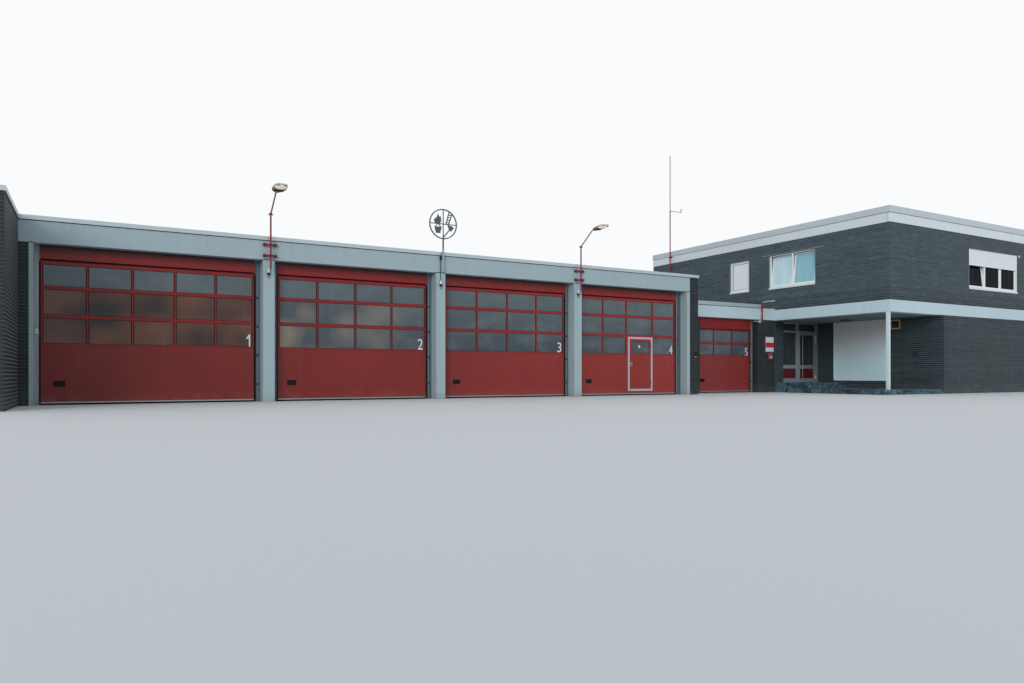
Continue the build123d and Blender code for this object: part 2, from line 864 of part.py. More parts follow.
with BuildPart() as window_glass:
    for plane, width, height, sashes in window_planes():
        lights, clear_height = sash_places(width, height, sashes)
        for index, (left, clear) in enumerate(lights):
            sash_clear = clear - 2 * sash_play
            sash_height = clear_height - 2 * sash_play
            inner = sash_plane(plane, left, sashes[index] == "t").offset(
                (sash_depth - pane_thickness) / 2)
            slab(inner, pane_thickness,
                 (sash_width, sash_clear - sash_width, sash_width, sash_height - sash_width))
window_glass.part.label = "window_glass"
export_step(window_glass.part, "parts/window_glass.step")

# Roller shutter of the wide front window, partly lowered
shutter_left = office_left + wide_from_corner
shutter_head = wide_sill + wide_height
slat_count = round(shutter_drop / slat_pitch)
slat_height = shutter_drop / slat_count
with BuildPart() as roller_shutter:
    with BuildSketch(at_x(shutter_left)) as shutter_profile:
        front = office_front + shutter_setback
        rect(front + shutter_thickness / 2, front + shutter_thickness,
             shutter_head - shutter_drop, shutter_head)
        for index in range(slat_count):
            foot = shutter_head - slat_height * (index + 1)
            Polygon((front + shutter_thickness / 2, foot),
                    (front, foot + slat_height / 4), (front, foot + slat_height * 3 / 4),
                    (front + shutter_thickness / 2, foot + slat_height), align=None)
    extrude(shutter_profile.sketch, amount=wide_width)
roller_shutter.part.label = "roller_shutter"
export_step(roller_shutter.part, "parts/roller_shutter.step")

# Entrance: an aluminium frame with a sidelight, a door and lights above
sidelight_left = office_left + entrance_brick + frame_member
sidelight_right = office_left + entrance_brick + sidelight_width
entrance_left = sidelight_right + post_width
entrance_right = entrance_left + entrance_door_width
transom_top = transom_bottom + transom_height
head_bottom = storey_bottom - frame_member
light_above = (transom_top, head_bottom)
entrance_door_top = transom_bottom - door_clearance

with BuildPart() as entrance_frame:
    slab(at_y(entrance_front + entrance_frame_depth), entrance_frame_depth,
         (office_left + entrance_brick, porch_wall_left, entrance_level, storey_bottom),
         [(sidelight_left, sidelight_right, panel_bottom, panel_top),
          (sidelight_left, sidelight_right, mid_rail_top, transom_bottom),
          (sidelight_left, sidelight_right, *light_above),
          (entrance_left, entrance_right, entrance_level, transom_bottom),
          (entrance_left, entrance_right, *light_above)])
entrance_frame.part.label = "entrance_frame"
export_step(entrance_frame.part, "parts/entrance_frame.step")

with BuildPart() as entrance_glass:
    for left, right, bottom, top in (
        (sidelight_left, sidelight_right, mid_rail_top, transom_bottom),
        (sidelight_left, sidelight_right, *light_above),
        (entrance_left, entrance_right, *light_above),
    ):
        slab(at_y(entrance_front + (entrance_frame_depth + pane_thickness) / 2), pane_thickness,
             (left, right, bottom, top))
entrance_glass.part.label = "entrance_glass"
export_step(entrance_glass.part, "parts/entrance_glass.step")

with BuildPart() as entrance_panel:
    slab(at_y(entrance_front + (entrance_frame_depth + panel_thickness) / 2), panel_thickness,
         (sidelight_left, sidelight_right, panel_bottom, panel_top))
entrance_panel.part.label = "entrance_panel"
export_step(entrance_panel.part, "parts/entrance_panel.step")

leaf_left = entrance_left + door_clearance
leaf_right = entrance_right - door_clearance
leaf_panel = (leaf_left + entrance_stile, leaf_right - entrance_stile, panel_bottom, panel_top)
leaf_pane = (leaf_left + entrance_stile, leaf_right - entrance_stile,
             mid_rail_top, entrance_door_top - entrance_stile)
with BuildPart() as entrance_door:
    slab(at_y(entrance_front + entrance_frame_depth), entrance_frame_depth,
         (leaf_left, leaf_right, entrance_level + door_clearance, entrance_door_top),
         [leaf_panel, leaf_pane])
entrance_door.part.label = "entrance_door"
export_step(entrance_door.part, "parts/entrance_door.step")

with BuildPart() as entrance_door_glass:
    slab(at_y(entrance_front + (entrance_frame_depth + pane_thickness) / 2), pane_thickness,
         leaf_pane)
entrance_door_glass.part.label = "entrance_door_glass"
export_step(entrance_door_glass.part, "parts/entrance_door_glass.step")

with BuildPart() as entrance_door_panel:
    slab(at_y(entrance_front + (entrance_frame_depth + panel_thickness) / 2), panel_thickness,
         leaf_panel)
entrance_door_panel.part.label = "entrance_door_panel"
export_step(entrance_door_panel.part, "parts/entrance_door_panel.step")

entrance_axis_x = entrance_right - door_clearance / 2
pull_x = leaf_left + pull_inset
pull_y = entrance_front - pull_standoff
pull_feet = (panel_bottom - pull_overrun, leaf_pane[3] + pull_overrun)
with BuildPart() as entrance_door_fittings:
    hinges(entrance_axis_x, entrance_front, (panel_bottom, entrance_door_top - entrance_hinge_drop))
    rod((pull_x, pull_y, pull_feet[0] - pull_radius), (pull_x, pull_y, pull_feet[1] + pull_radius),
        pull_radius)
    for height in pull_feet:
        rod((pull_x, entrance_front, height), (pull_x, pull_y, height), pull_foot_radius)
entrance_door_fittings.part.label = "entrance_door_fittings"
export_step(entrance_door_fittings.part, "parts/entrance_door_fittings.step")

with BuildPart() as porch_column:
    slab(at_z(platform_height), storey_bottom - platform_height,
         (office_left, office_left + column_side,
          office_front + column_setback, office_front + column_setback + column_side))
porch_column.part.label = "porch_column"
export_step(porch_column.part, "parts/porch_column.step")

# Stone platform, and the landing between it and the entrance
landing_front = entrance_wall - landing_depth
with BuildPart() as porch_steps:
    slab(at_z(0), platform_height,
         (office_left - platform_margin, porch_wall_left,
          office_front - platform_proud, landing_front))
    slab(at_z(0), entrance_level,
         (office_left, porch_wall_left, landing_front, entrance_wall))
porch_steps.part.label = "porch_steps"
export_step(porch_steps.part, "parts/porch_steps.step")

# White boards on the porch side wall
with BuildPart() as boarded_panel:
    slab(at_x(porch_wall_left - board_thickness), board_thickness,
         (office_front + boards_front, office_front + boards_front + boards_length,
          boards_bottom, boards_top))
boarded_panel.part.label = "boarded_panel"
export_step(boarded_panel.part, "parts/boarded_panel.step")

with BuildPart() as side_hatch:
    slab(at_x(porch_wall_left), window_frame_depth, hatch_hole)
    slab(at_x(porch_wall_left), window_frame_depth / 2,
         (hatch_hole[0] + hatch_frame, hatch_hole[1] - hatch_frame,
          hatch_hole[2] + hatch_frame, hatch_hole[3] - hatch_frame), mode=Mode.SUBTRACT)
side_hatch.part.label = "side_hatch"
export_step(side_hatch.part, "parts/side_hatch.step")

# Yard lamps on the first and third pier: a kinked pole on flared brackets, with a flat head
lamp_piers = [pier_lefts[index] + pier_width / 2 + lamp_offset for index in (0, 2)]
lamp_y = hall_front - lamp_standoff
bracket_y = hall_front - bracket_standoff
arm_end_y = lamp_y - lamp_arm_reach
arm_end_z = lamp_kink + lamp_arm_rise
head_start = arm_end_y - lamp_spigot

with BuildPart() as lamp_poles:
    for x in lamp_piers:
        rod((x, lamp_y, lamp_pole_bottom), (x, lamp_y, lamp_kink), lamp_pole_radius)
        rod((x, lamp_y, lamp_kink), (x, arm_end_y, arm_end_z), lamp_arm_radius)
        rod((x, arm_end_y, arm_end_z), (x, head_start, arm_end_z), lamp_arm_radius)
        rod((x, lamp_y, lamp_kink - clamp_height / 2),
            (x, lamp_y, lamp_kink + clamp_height / 2), clamp_radius)
        slab(at_z(lamp_kink - clamp_height / 2), clamp_thickness,
             (x - clamp_width / 2, x + clamp_width / 2,
              lamp_y - clamp_thickness, lamp_y + clamp_thickness))
        for height in bracket_heights:
            slab(at_y(hall_front), lamp_standoff,
                 (x - bracket_stem / 2, x + bracket_stem / 2,
                  height - bracket_stem / 2, height + bracket_stem / 2))
            for side in (-1, 1):
                with BuildSketch(at_x(x + side * bracket_width / 2)) as bracket_end:
                    with Locations((bracket_y, height)):
                        RegularPolygon(bracket_end_radius, 12)
                with BuildSketch(at_x(x)) as bracket_neck:
                    with Locations((bracket_y, height)):
                        RegularPolygon(bracket_neck_radius, 12)
                loft([bracket_end.sketch, bracket_neck.sketch])
lamp_poles.part.label = "lamp_poles"
export_step(lamp_poles.part, "parts/lamp_poles.step")

# Half outline of the lamp head, as shares of its length from the pole and of its half width
head_outline = ((0, 0.26), (0.08, 0.42), (0.2, 0.8), (0.38, 1), (0.62, 1), (0.82, 0.93),
                (0.95, 0.78), (1, 0.56))
with BuildPart() as lamp_heads:
    for x in lamp_piers:
        lean = Location((x, head_start, arm_end_z), (-lamp_head_tilt, 0, 0))
        half = [(width * lamp_head_width / 2, -along * lamp_head_length)
                for along, width in head_outline]
        with BuildSketch(Plane(lean)) as head_plan:
            Polygon(*half, *[(-width, along) for width, along in reversed(half)], align=None)
        extrude(head_plan.sketch, amount=-lamp_tray_depth)
        extrude(head_plan.sketch, amount=lamp_hood_height, taper=lamp_hood_taper)
lamp_heads.part.label = "lamp_heads"
export_step(lamp_heads.part, "parts/lamp_heads.step")

# Plates of the emblem, in shares of its radius from its centre: a flame, a leaning ladder,
# a bucket and an axe, each of them joined to the bars or to the ring
emblem_plates = [
    ((-0.58, 0), (-0.66, 0.22), (-0.54, 0.4), (-0.5, 0.3), (-0.38, 0.66), (-0.28, 0.44),
     (-0.2, 0.52), (-0.14, 0.22), (-0.24, 0)),
    ((0.16, 0), (0.4, 0.84), (0.46, 0.84), (0.22, 0)),
    ((0.36, 0), (0.6, 0.74), (0.66, 0.7), (0.42, 0)),
    ((0.2, 0.1), (0.2, 0.15), (0.42, 0.15), (0.42, 0.1)),
    ((0.26, 0.27), (0.26, 0.32), (0.48, 0.32), (0.48, 0.27)),
    ((0.31, 0.44), (0.31, 0.49), (0.53, 0.49), (0.53, 0.44)),
    ((0.35, 0.61), (0.35, 0.66), (0.58, 0.66), (0.58, 0.61)),
    ((-0.62, -0.2), (-0.52, -0.62), (-0.22, -0.62), (-0.12, -0.2)),
    ((-0.61, -0.22), (-0.42, 0), (-0.36, 0), (-0.55, -0.22)),
    ((-0.13, -0.22), (-0.32, 0), (-0.38, 0), (-0.19, -0.22)),
    ((0, -0.84), (0.56, -0.18), (0.61, -0.22), (0.05, -0.9)),
    ((0.4, -0.28), (0.3, 0), (0.44, -0.06), (0.62, -0.1), (0.78, -0.2), (0.56, -0.46)),
]

# Round emblem on the second pier: a flat ring with crossed bars and plates, on a pole
emblem_x = pier_lefts[1] + pier_width / 2 + emblem_offset
emblem_y = hall_front - emblem_standoff
with BuildPart() as emblem:
    with BuildSketch(at_y(emblem_y + emblem_depth / 2)) as emblem_ring:
        with Locations((emblem_x, emblem_height)):
            Circle(emblem_radius)
            Circle(emblem_radius - emblem_band, mode=Mode.SUBTRACT)
            Rectangle(emblem_bar, 2 * emblem_radius - emblem_band)
            Rectangle(2 * emblem_radius - emblem_band, emblem_bar)
            for plate in emblem_plates:
                Polygon(*[(across * emblem_radius, up * emblem_radius) for across, up in plate],
                        align=None)
    extrude(emblem_ring.sketch, amount=emblem_depth)
    rod((emblem_x, emblem_y, emblem_sleeve_top),
        (emblem_x, emblem_y, emblem_height - emblem_radius + emblem_band), emblem_pole_radius)
    rod((emblem_x, emblem_y, emblem_pole_bottom),
        (emblem_x, emblem_y, emblem_sleeve_top), emblem_sleeve_radius)
    clamp_right = emblem_x - emblem_sleeve_radius
    slab(at_y(hall_front), emblem_standoff,
         (clamp_right - emblem_clamp_width, clamp_right,
          hall_fascia_top - emblem_clamp_height, hall_fascia_top - door_clearance))
    for height in bracket_heights:
        slab(at_y(hall_front), emblem_standoff,
             (emblem_x - bracket_stem / 2, emblem_x + bracket_stem / 2,
              height - bracket_stem / 2, height + bracket_stem / 2))
emblem.part.label = "emblem"
export_step(emblem.part, "parts/emblem.step")

# Antenna mast on the office's left face
mast_x = office_left - mast_standoff
mast_y = office_front + mast_from_front
with BuildPart() as antenna_mast:
    rod((mast_x, mast_y, mast_bottom), (mast_x, mast_y, mast_step), mast_radius)
    rod((mast_x, mast_y, mast_step), (mast_x, mast_y, mast_top), mast_stub_radius)
    rod((mast_x, mast_y, mast_step), (mast_x + mast_arm_length, mast_y, mast_step),
        mast_arm_radius)
    rod((mast_x + mast_arm_length, mast_y, mast_step - mast_arm_radius),
        (mast_x + mast_arm_length, mast_y, mast_step + mast_stub_length), mast_stub_radius)
    for height in mast_clips:
        slab(at_x(mast_x), mast_standoff,
             (mast_y - clip_size / 2, mast_y + clip_size / 2,
              height - clip_size / 2, height + clip_size / 2))
antenna_mast.part.label = "antenna_mast"
export_step(antenna_mast.part, "parts/antenna_mast.step")

# Red post in front of the link fascia, with a level arm towards the street on its top
post_x = office_left - post_inset
post_y = link_front - post_standoff
arm_z = post_top - post_radius
with BuildPart() as bracket_post:
    rod((post_x, post_y, post_bottom), (post_x, post_y, post_top), post_radius)
    rod((post_x, post_y, arm_z), (post_x, post_y - post_arm_length, arm_z), post_arm_radius)
    for height in post_clips:
        slab(at_y(link_front), post_standoff,
             (post_x - post_radius, post_x + post_radius,
              height - clip_size / 2, height + clip_size / 2))
bracket_post.part.label = "bracket_post"
export_step(bracket_post.part, "parts/bracket_post.step")

# Small lights, switches and bare plates on the walls
with BuildPart() as wall_fittings:
    light_y = hall_front - pier_light_standoff
    for left in pier_lefts:
        x = left + pier_width / 2 + pier_light_offset
        rod((x, light_y, pier_light_bottom), (x, light_y, pier_light_bottom + pier_light_height),
            pier_light_radius)
        slab(at_y(hall_front), pier_light_standoff,
             (x - pier_light_stem / 2, x + pier_light_stem / 2,
              pier_light_bottom, pier_light_bottom + pier_light_stem))
        rod((x, light_y, pier_light_bottom - pier_light_base), (x, light_y, pier_light_bottom),
            pier_light_base - door_clearance)
    for left, back, bottom in (
        (hall_right - 2 * switch_side, hall_front, right_switch_bottom),
        (first_bay_left + switch_margin, leaf_front + guide_setback, left_switch_bottom),
    ):
        slab(at_y(back), switch_depth, (left, left + switch_side, bottom, bottom + switch_height))
    slab(at_y(link_front), sign_thickness,
         (office_left - sign_left, office_left - sign_left + sign_width,
          sign_bottom, sign_bottom + sign_height))
    slab(at_y(link_front), box_depth,
         (office_left - box_left, office_left - box_left + box_width,
          box_bottom, box_bottom + box_height))
    lamp_left = link_opening[1] + wall_lamp_inset
    lamp_middle = wall_lamp_bottom + wall_lamp_height / 2
    slab(at_y(link_front), wall_lamp_depth,
         (lamp_left, lamp_left + wall_lamp_width,
          wall_lamp_bottom, wall_lamp_bottom + wall_lamp_height))
    rod((lamp_left, link_front - wall_lamp_depth / 2, lamp_middle),
        (lamp_left - wall_lamp_pipe, link_front - wall_lamp_depth / 2, lamp_middle),
        wall_lamp_pipe_radius)
    slab(at_x(porch_wall_left - plaque_thickness), plaque_thickness,
         (office_front + plaque_front, office_front + plaque_front + plaque_width,
          plaque_bottom, plaque_bottom + plaque_height))
    slab(at_z(storey_bottom - ceiling_light_depth), ceiling_light_depth,
         (office_left + ceiling_light_from_left,
          office_left + ceiling_light_from_left + ceiling_light_side,
          office_front + ceiling_light_from_front,
          office_front + ceiling_light_from_front + ceiling_light_side))
wall_fittings.part.label = "wall_fittings"
export_step(wall_fittings.part, "parts/wall_fittings.step")
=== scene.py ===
import math

import bpy
import numpy as np
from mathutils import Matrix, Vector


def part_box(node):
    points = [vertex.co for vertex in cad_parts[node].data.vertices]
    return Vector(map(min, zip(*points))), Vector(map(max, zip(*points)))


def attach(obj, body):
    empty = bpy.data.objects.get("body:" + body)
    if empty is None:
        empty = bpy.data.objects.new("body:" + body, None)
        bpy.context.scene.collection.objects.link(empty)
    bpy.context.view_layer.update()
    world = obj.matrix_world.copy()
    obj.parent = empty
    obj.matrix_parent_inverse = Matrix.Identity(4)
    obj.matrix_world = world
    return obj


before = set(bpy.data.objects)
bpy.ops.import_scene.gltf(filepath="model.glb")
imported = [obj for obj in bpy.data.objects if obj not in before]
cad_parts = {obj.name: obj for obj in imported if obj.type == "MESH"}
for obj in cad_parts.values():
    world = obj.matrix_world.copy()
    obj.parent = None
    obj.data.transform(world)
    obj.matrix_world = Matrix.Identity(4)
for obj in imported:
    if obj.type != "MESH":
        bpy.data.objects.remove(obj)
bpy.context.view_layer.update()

scene = bpy.context.scene


def linked(name, data):
    """A new object in the scene."""
    obj = bpy.data.objects.new(name, data)
    scene.collection.objects.link(obj)
    return obj


# Camera at the street, level, with the horizon below the middle of the picture
camera_data = bpy.data.cameras.new("street_camera")
camera_data.sensor_width = 36
camera_data.lens = 25.79
camera_data.shift_y = 0.033
camera = linked("street_camera", camera_data)
camera.location = (-17.776, -25.14, 0.73)
camera.rotation_euler = (math.radians(90), 0, math.radians(-29.65))
scene.camera = camera
scene.view_settings.view_transform = "Standard"

# Places taken from the CAD nodes
hall_left, wing_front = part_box("hall_left_wall")[0][:2]
hall_inside_left, hall_rear, wall_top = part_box("hall_left_wall")[1]
hall_inside_right, hall_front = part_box("hall_right_wall")[0][:2]
hall_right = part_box("hall_right_wall")[1][0]
pier_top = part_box("hall_fascia")[0][2]
link_left_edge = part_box("link_rear_wall")[0][0]
pillar_left, link_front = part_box("link_pillar")[0][:2]
office_left, office_front, band_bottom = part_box("canopy_band")[0]
office_right, office_rear, band_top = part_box("canopy_band")[1]
roof_edge_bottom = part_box("roof_fascia")[0][2]
entrance_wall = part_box("porch_back_wall")[0][1]
porch_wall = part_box("porch_side_wall")[0][0]
leaf_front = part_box("bay_door_1")[0][1]
link_leaf_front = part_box("link_door")[0][1]
bay_pitch, pier_width, first_pier = 5.17, 0.31, hall_left + 6.072
pier_lefts = first_pier + bay_pitch * np.arange(3)
first_bay_left = hall_left + 0.769
last_bay_right = hall_inside_right - 0.145
leaves = [(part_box(f"bay_door_{n}")[0][0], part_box(f"bay_door_{n}")[1][0]) for n in (1, 2, 3, 4)]
link_leaf = (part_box("link_door")[0][0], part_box("link_door")[1][0])
link_bay_width = 3.361
link_opening = (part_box("door_guides")[1][0] - link_bay_width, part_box("door_guides")[1][0])
openings = [*zip([first_bay_left, *(pier_lefts + pier_width)], [*pier_lefts, last_bay_right]), link_opening]
office_length, office_depth = office_right - office_left, office_rear - office_front
office_corner = (office_left, office_front, 0)
random = np.random.RandomState(7)


def piece(name, points, faces, finish, slot, body="building", tone=None, smooth=False):
    """A mesh from an array of points and a list of arrays of equal faces, riding on a CAD body."""
    mesh = bpy.data.meshes.new(name)
    sizes = np.concatenate([np.full(len(f), f.shape[1], np.int32) for f in faces])
    corners = np.concatenate([f.ravel() for f in faces]).astype(np.int32)
    mesh.vertices.add(len(points))
    mesh.vertices.foreach_set("co", np.asarray(points, np.float32).ravel())
    mesh.loops.add(len(corners))
    mesh.loops.foreach_set("vertex_index", corners)
    mesh.polygons.add(len(sizes))
    mesh.polygons.foreach_set("loop_start", np.concatenate([[0], np.cumsum(sizes)[:-1]]))
    mesh.polygons.foreach_set("loop_total", sizes)
    mesh.polygons.foreach_set("use_smooth", np.full(len(sizes), smooth))
    mesh.update()
    mesh.validate()
    if tone is not None:
        attribute = mesh.attributes.new("tone", "FLOAT", "POINT")
        attribute.data.foreach_set("value", np.asarray(tone, np.float32))
    mesh.materials.append(finish)
    obj = linked(name, mesh)
    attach(obj, body)


def joined(parts):
    """Several sets of points, each with a list of face arrays, as one."""
    points, faces, start = [], [], 0
    for part_points, part_faces in parts:
        points.append(part_points)
        faces += [f + start for f in part_faces]
        start += len(part_points)
    return np.concatenate(points), faces


def block_template():
    """Points and faces of one chamfered block: each corner is three points, one on each face."""
    signs = np.array([[x, y, z] for x in (-1, 1) for y in (-1, 1) for z in (-1, 1)])
    index = {tuple(s): i for i, s in enumerate(signs.tolist())}
    faces = []
    for axis in range(3):
        b, c = (axis + 1) % 3, (axis + 2) % 3
        turn = ((-1, -1), (1, -1), (1, 1), (-1, 1))

        def corner(side, sb, sc):
            s = [0, 0, 0]
            s[axis], s[b], s[c] = side, sb, sc
            return index[tuple(s)] * 3

        for side in (-1, 1):
            faces.append([corner(side, sb, sc) + axis for sb, sc in turn][::side])
        for sb, sc in turn:
            i, j = corner(-1, sb, sc), corner(1, sb, sc)
            faces.append([i + b, j + b, j + c, i + c][::-sb * sc])
    corners = [[i * 3, i * 3 + 1, i * 3 + 2][::s[0] * s[1] * s[2]] for s, i in index.items()]
    return signs, np.array(faces), np.array(corners)


block_signs, block_quads, block_corners = block_template()


def blocks(lows, highs, chamfer):
    """Chamfered blocks between arrays of low and high corners. A point on face a lies on that
    face and is pulled in by the chamfer along the two other axes."""
    middle, half = (lows + highs) / 2, (highs - lows) / 2
    chamfer = np.minimum(chamfer, half.min(1) * 0.8)
    inset = np.broadcast_to(half[:, None, None, :], (len(lows), 8, 3, 3)).copy()
    inset -= (1 - np.eye(3))[None, None] * chamfer[:, None, None, None]
    points = middle[:, None, None, :] + block_signs[None, :, None, :] * inset
    shift = np.arange(len(lows))[:, None, None] * 24
    return points.reshape(-1, 3), [(block_quads[None] + shift).reshape(-1, 4),
                                   (block_corners[None] + shift).reshape(-1, 3)]


def on_face(origin, across, u, z, out):
    """Points of an upright face: u along its direction, z up and out along its normal, which is
    the direction cross up."""
    across = np.array(across, float)
    return (np.array(origin, float) + u[..., None] * across + z[..., None] * np.array((0, 0, 1.0))
            + out[..., None] * np.cross(across, (0, 0, 1))).reshape(-1, 3)


def relief(origin, across, rects, proud, chamfer):
    """Raised plates on an upright face. Each rectangle (u0, u1, z0, z1) starts at the face, and
    its front is pushed out and pulled in on all sides by the chamfer."""
    u0, u1, z0, z1 = np.asarray(rects, float).T
    c = np.minimum(chamfer, np.minimum(u1 - u0, z1 - z0) * 0.4)
    u = np.stack([u0, u1, u1, u0, u0 + c, u1 - c, u1 - c, u0 + c], 1)
    z = np.stack([z0, z0, z1, z1, z0 + c, z0 + c, z1 - c, z1 - c], 1)
    out = np.array([0, 0, 0, 0, 1, 1, 1, 1]) * proud
    around = np.array([[4, 5, 6, 7], [0, 1, 5, 4], [1, 2, 6, 5], [2, 3, 7, 6], [3, 0, 4, 7]])
    faces = around[None] + np.arange(len(u0))[:, None, None] * 8
    return on_face(origin, across, u, z, out[None]), [faces.reshape(-1, 4)]


def ring_walls(rings, sides, closed=False):
    """Quads between neighbouring rings of points, and from the last to the first if closed."""
    k, a = np.meshgrid(np.arange(rings if closed else rings - 1), np.arange(sides), indexing="ij")
    b, following = (a + 1) % sides, (k + 1) % rings
    return np.stack([k * sides + a, following * sides + a, following * sides + b, k * sides + b],
                    -1).reshape(-1, 4)


def tube(path, radius, sides):
    """A round profile carried along a path of straight runs, closed with flat ends. Each ring
    is square to the mean direction of its two runs."""
    runs = np.diff(path, axis=0)
    runs /= np.linalg.norm(runs, axis=1)[:, None]
    direction = np.vstack([runs, runs[-1:]]) + np.vstack([runs[:1], runs])
    direction /= np.linalg.norm(direction, axis=1)[:, None]
    helper = np.where(np.abs(direction[:, 2:]) > 0.9, [[0, 1.0, 0]], [[0, 0, 1.0]])
    side = np.cross(direction, helper)
    side /= np.linalg.norm(side, axis=1)[:, None]
    top = np.cross(direction, side)
    angle = np.linspace(0, 2 * np.pi, sides, endpoint=False)[None, :, None]
    radius = np.broadcast_to(radius, len(path))[:, None, None]
    points = path[:, None] + (np.cos(angle) * side[:, None] + np.sin(angle) * top[:, None]) * radius
    last = (len(path) - 1) * sides + np.arange(sides)
    return points.reshape(-1, 3), [ring_walls(len(path), sides), np.arange(sides)[None], last[None, ::-1]]


def trim(name, rows, finish, slot, chamfer=0.004, body="building", at=(0, 0, 0)):
    """Chamfered bars and plates of one finish. Each row is a low and a high corner, measured
    from a place or from each of several places."""
    corners = np.reshape(rows, (1, -1, 2, 3)) + np.reshape(at, (-1, 1, 1, 3))
    points, faces = blocks(*corners.reshape(-1, 2, 3).swapaxes(0, 1), chamfer)
    piece(name, points, faces, finish, slot, body)


def tubes(name, runs, finish, slot, sides=16, at=(0, 0, 0)):
    """Round bars of one finish. Each run is a path and its radius or radii, measured from a
    place or from each of several places."""
    parts = [tube(np.add(path, place), radius, sides) for path, radius in runs
             for place in np.reshape(at, (-1, 3))]
    piece(name, *joined(parts), finish, slot)


def upright(*steps):
    """An upright run from its heights and their radii."""
    return [(0, 0, z) for z, radius in steps], [radius for z, radius in steps]


def rim(low, high, bar, along=0, other=2, cut=0, other_cut=0):
    """Four bars inside the rim of a box: two along one axis, then two along the other, each
    pair cut short at both ends."""
    rows = []
    for run, side, short in ((along, other, cut), (other, along, other_cut)):
        for at_high_side in (False, True):
            start, end = list(low), list(high)
            start[run] += short
            end[run] -= short
            if at_high_side:
                start[side] = end[side] - bar
            else:
                end[side] = start[side] + bar
            rows.append((*start, *end))
    return rows


def crossings(axis, steps, half, low_side, high_side, bottom, top):
    """Short bars across the two long edges of a roof: at each step along an axis, one between
    the two places on the low side and one between those on the high side."""
    rows = np.array([(step - half, start, bottom, step + half, end, top)
                     for step in steps for start, end in (low_side, high_side)])
    return rows[:, [1, 0, 2, 4, 3, 5]] if axis else rows


# Short forms for shader nodes
def srgb(code):
    """A colour written as #rrggbb in scene-linear numbers."""
    values = [int(code[i:i + 2], 16) / 255 for i in (1, 3, 5)]
    return tuple(v / 12.92 if v <= 0.04045 else ((v + 0.055) / 1.055) ** 2.4 for v in values)


def feed(tree, node, inputs):
    """Give a node's inputs numbers, colours written as #rrggbb, or links."""
    for label, value in inputs.items():
        if isinstance(value, bpy.types.NodeSocket):
            tree.links.new(value, node.inputs[label])
        else:
            node.inputs[label].default_value = (*srgb(value), 1) if isinstance(value, str) else value


def add(tree, kind, inputs, output=0, **settings):
    """A new node with its settings and inputs, and one of its outputs, or all for None."""
    node = tree.nodes.new("ShaderNode" + kind)
    for label, value in settings.items():
        setattr(node, label, value)
    feed(tree, node, inputs)
    return node.outputs if output is None else node.outputs[output]


def math_node(tree, operation, *values, clamp=False):
    return add(tree, "Math", dict(enumerate(values)), operation=operation, use_clamp=clamp)


def times(tree, a, b):
    return math_node(tree, "MULTIPLY", a, b)


def noise(tree, vector, scale, detail=3.0, roughness=0.55, stretch=None):
    if stretch:
        vector = add(tree, "Mapping", {"Vector": vector, "Scale": stretch})
    return add(tree, "TexNoise", {"Vector": vector, "Scale": scale, "Detail": detail,
                                  "Roughness": roughness}, "Fac")


def span(tree, value, low, high, to_low=0.0, to_high=1.0):
    return add(tree, "MapRange", dict(enumerate((value, low, high, to_low, to_high))))


def mix(tree, factor, a, b):
    return add(tree, "Mix", {0: factor, 6: a, 7: b}, 2, data_type="RGBA")


def scaled(tree, colour, share):
    return add(tree, "VectorMath", {0: colour, "Scale": share}, operation="SCALE")


def object_place(tree):
    return add(tree, "TexCoord", {}, "Object")


def axes(tree):
    """The object's own coordinates, and their x, y and z."""
    place = object_place(tree)
    return place, *add(tree, "SeparateXYZ", {0: place}, None)


def tone_of_each(tree):
    """The random tone that every brick or stone of a piece carries."""
    return add(tree, "Attribute", {}, "Fac", attribute_name="tone")


def weathering_group():
    """Slow colour drift of a strength and scale, rain streaks, splashed dirt that reaches up from
    the ground, and a fine grain."""
    group = bpy.data.node_groups.new("weathering", "ShaderNodeTree")
    for label, value in {"Colour": (0.5, 0.5, 0.5, 1), "Stain": (0.1, 0.1, 0.09, 1), "Drift": 0.15,
                         "Scale": 0.8, "Streaks": 0.1, "Splash": 0.2, "Reach": 0.5, "Grain": 60.0,
                         "Roughness": 0.6}.items():
        kind = "NodeSocketColor" if isinstance(value, tuple) else "NodeSocketFloat"
        group.interface.new_socket(name=label, in_out="INPUT", socket_type=kind).default_value = value
    for label, kind in (("Colour", "Color"), ("Roughness", "Float"), ("Height", "Float")):
        group.interface.new_socket(name=label, in_out="OUTPUT", socket_type="NodeSocket" + kind)
    given, result = group.nodes.new("NodeGroupInput").outputs, group.nodes.new("NodeGroupOutput")
    place, _, _, z = axes(group)
    drift = math_node(group, "SUBTRACT", noise(group, place, given["Scale"], 4), 0.5)
    streak = span(group, noise(group, place, 1.0, 4, 0.6, (5.5, 5.5, 0.22)), 0.5, 0.78)
    splash = math_node(group, "DIVIDE", z, given["Reach"])
    splash = math_node(group, "SUBTRACT", 1.0, splash, clamp=True)
    patch = span(group, noise(group, place, 3.2, 5), 0.3, 0.7)
    splash = times(group, math_node(group, "POWER", splash, 1.5), patch)
    streak = times(group, streak, given["Streaks"])
    stain = math_node(group, "MULTIPLY_ADD", splash, given["Splash"], streak, clamp=True)
    grain = noise(group, place, given["Grain"], 3, 0.6)
    shade = math_node(group, "MULTIPLY_ADD", drift, given["Drift"], 1.0)
    fine = math_node(group, "MULTIPLY_ADD", math_node(group, "SUBTRACT", grain, 0.5), 0.1, shade)
    colour = mix(group, stain, scaled(group, given["Colour"], fine), given["Stain"])
    rough = math_node(group, "MULTIPLY_ADD", stain, 0.25, given["Roughness"])
    rough = math_node(group, "MULTIPLY_ADD", drift, 0.18, rough, clamp=True)
    feed(group, result, {"Colour": colour, "Roughness": rough, "Height": grain})
    return group


weathering = weathering_group()
cad_finishes = {}


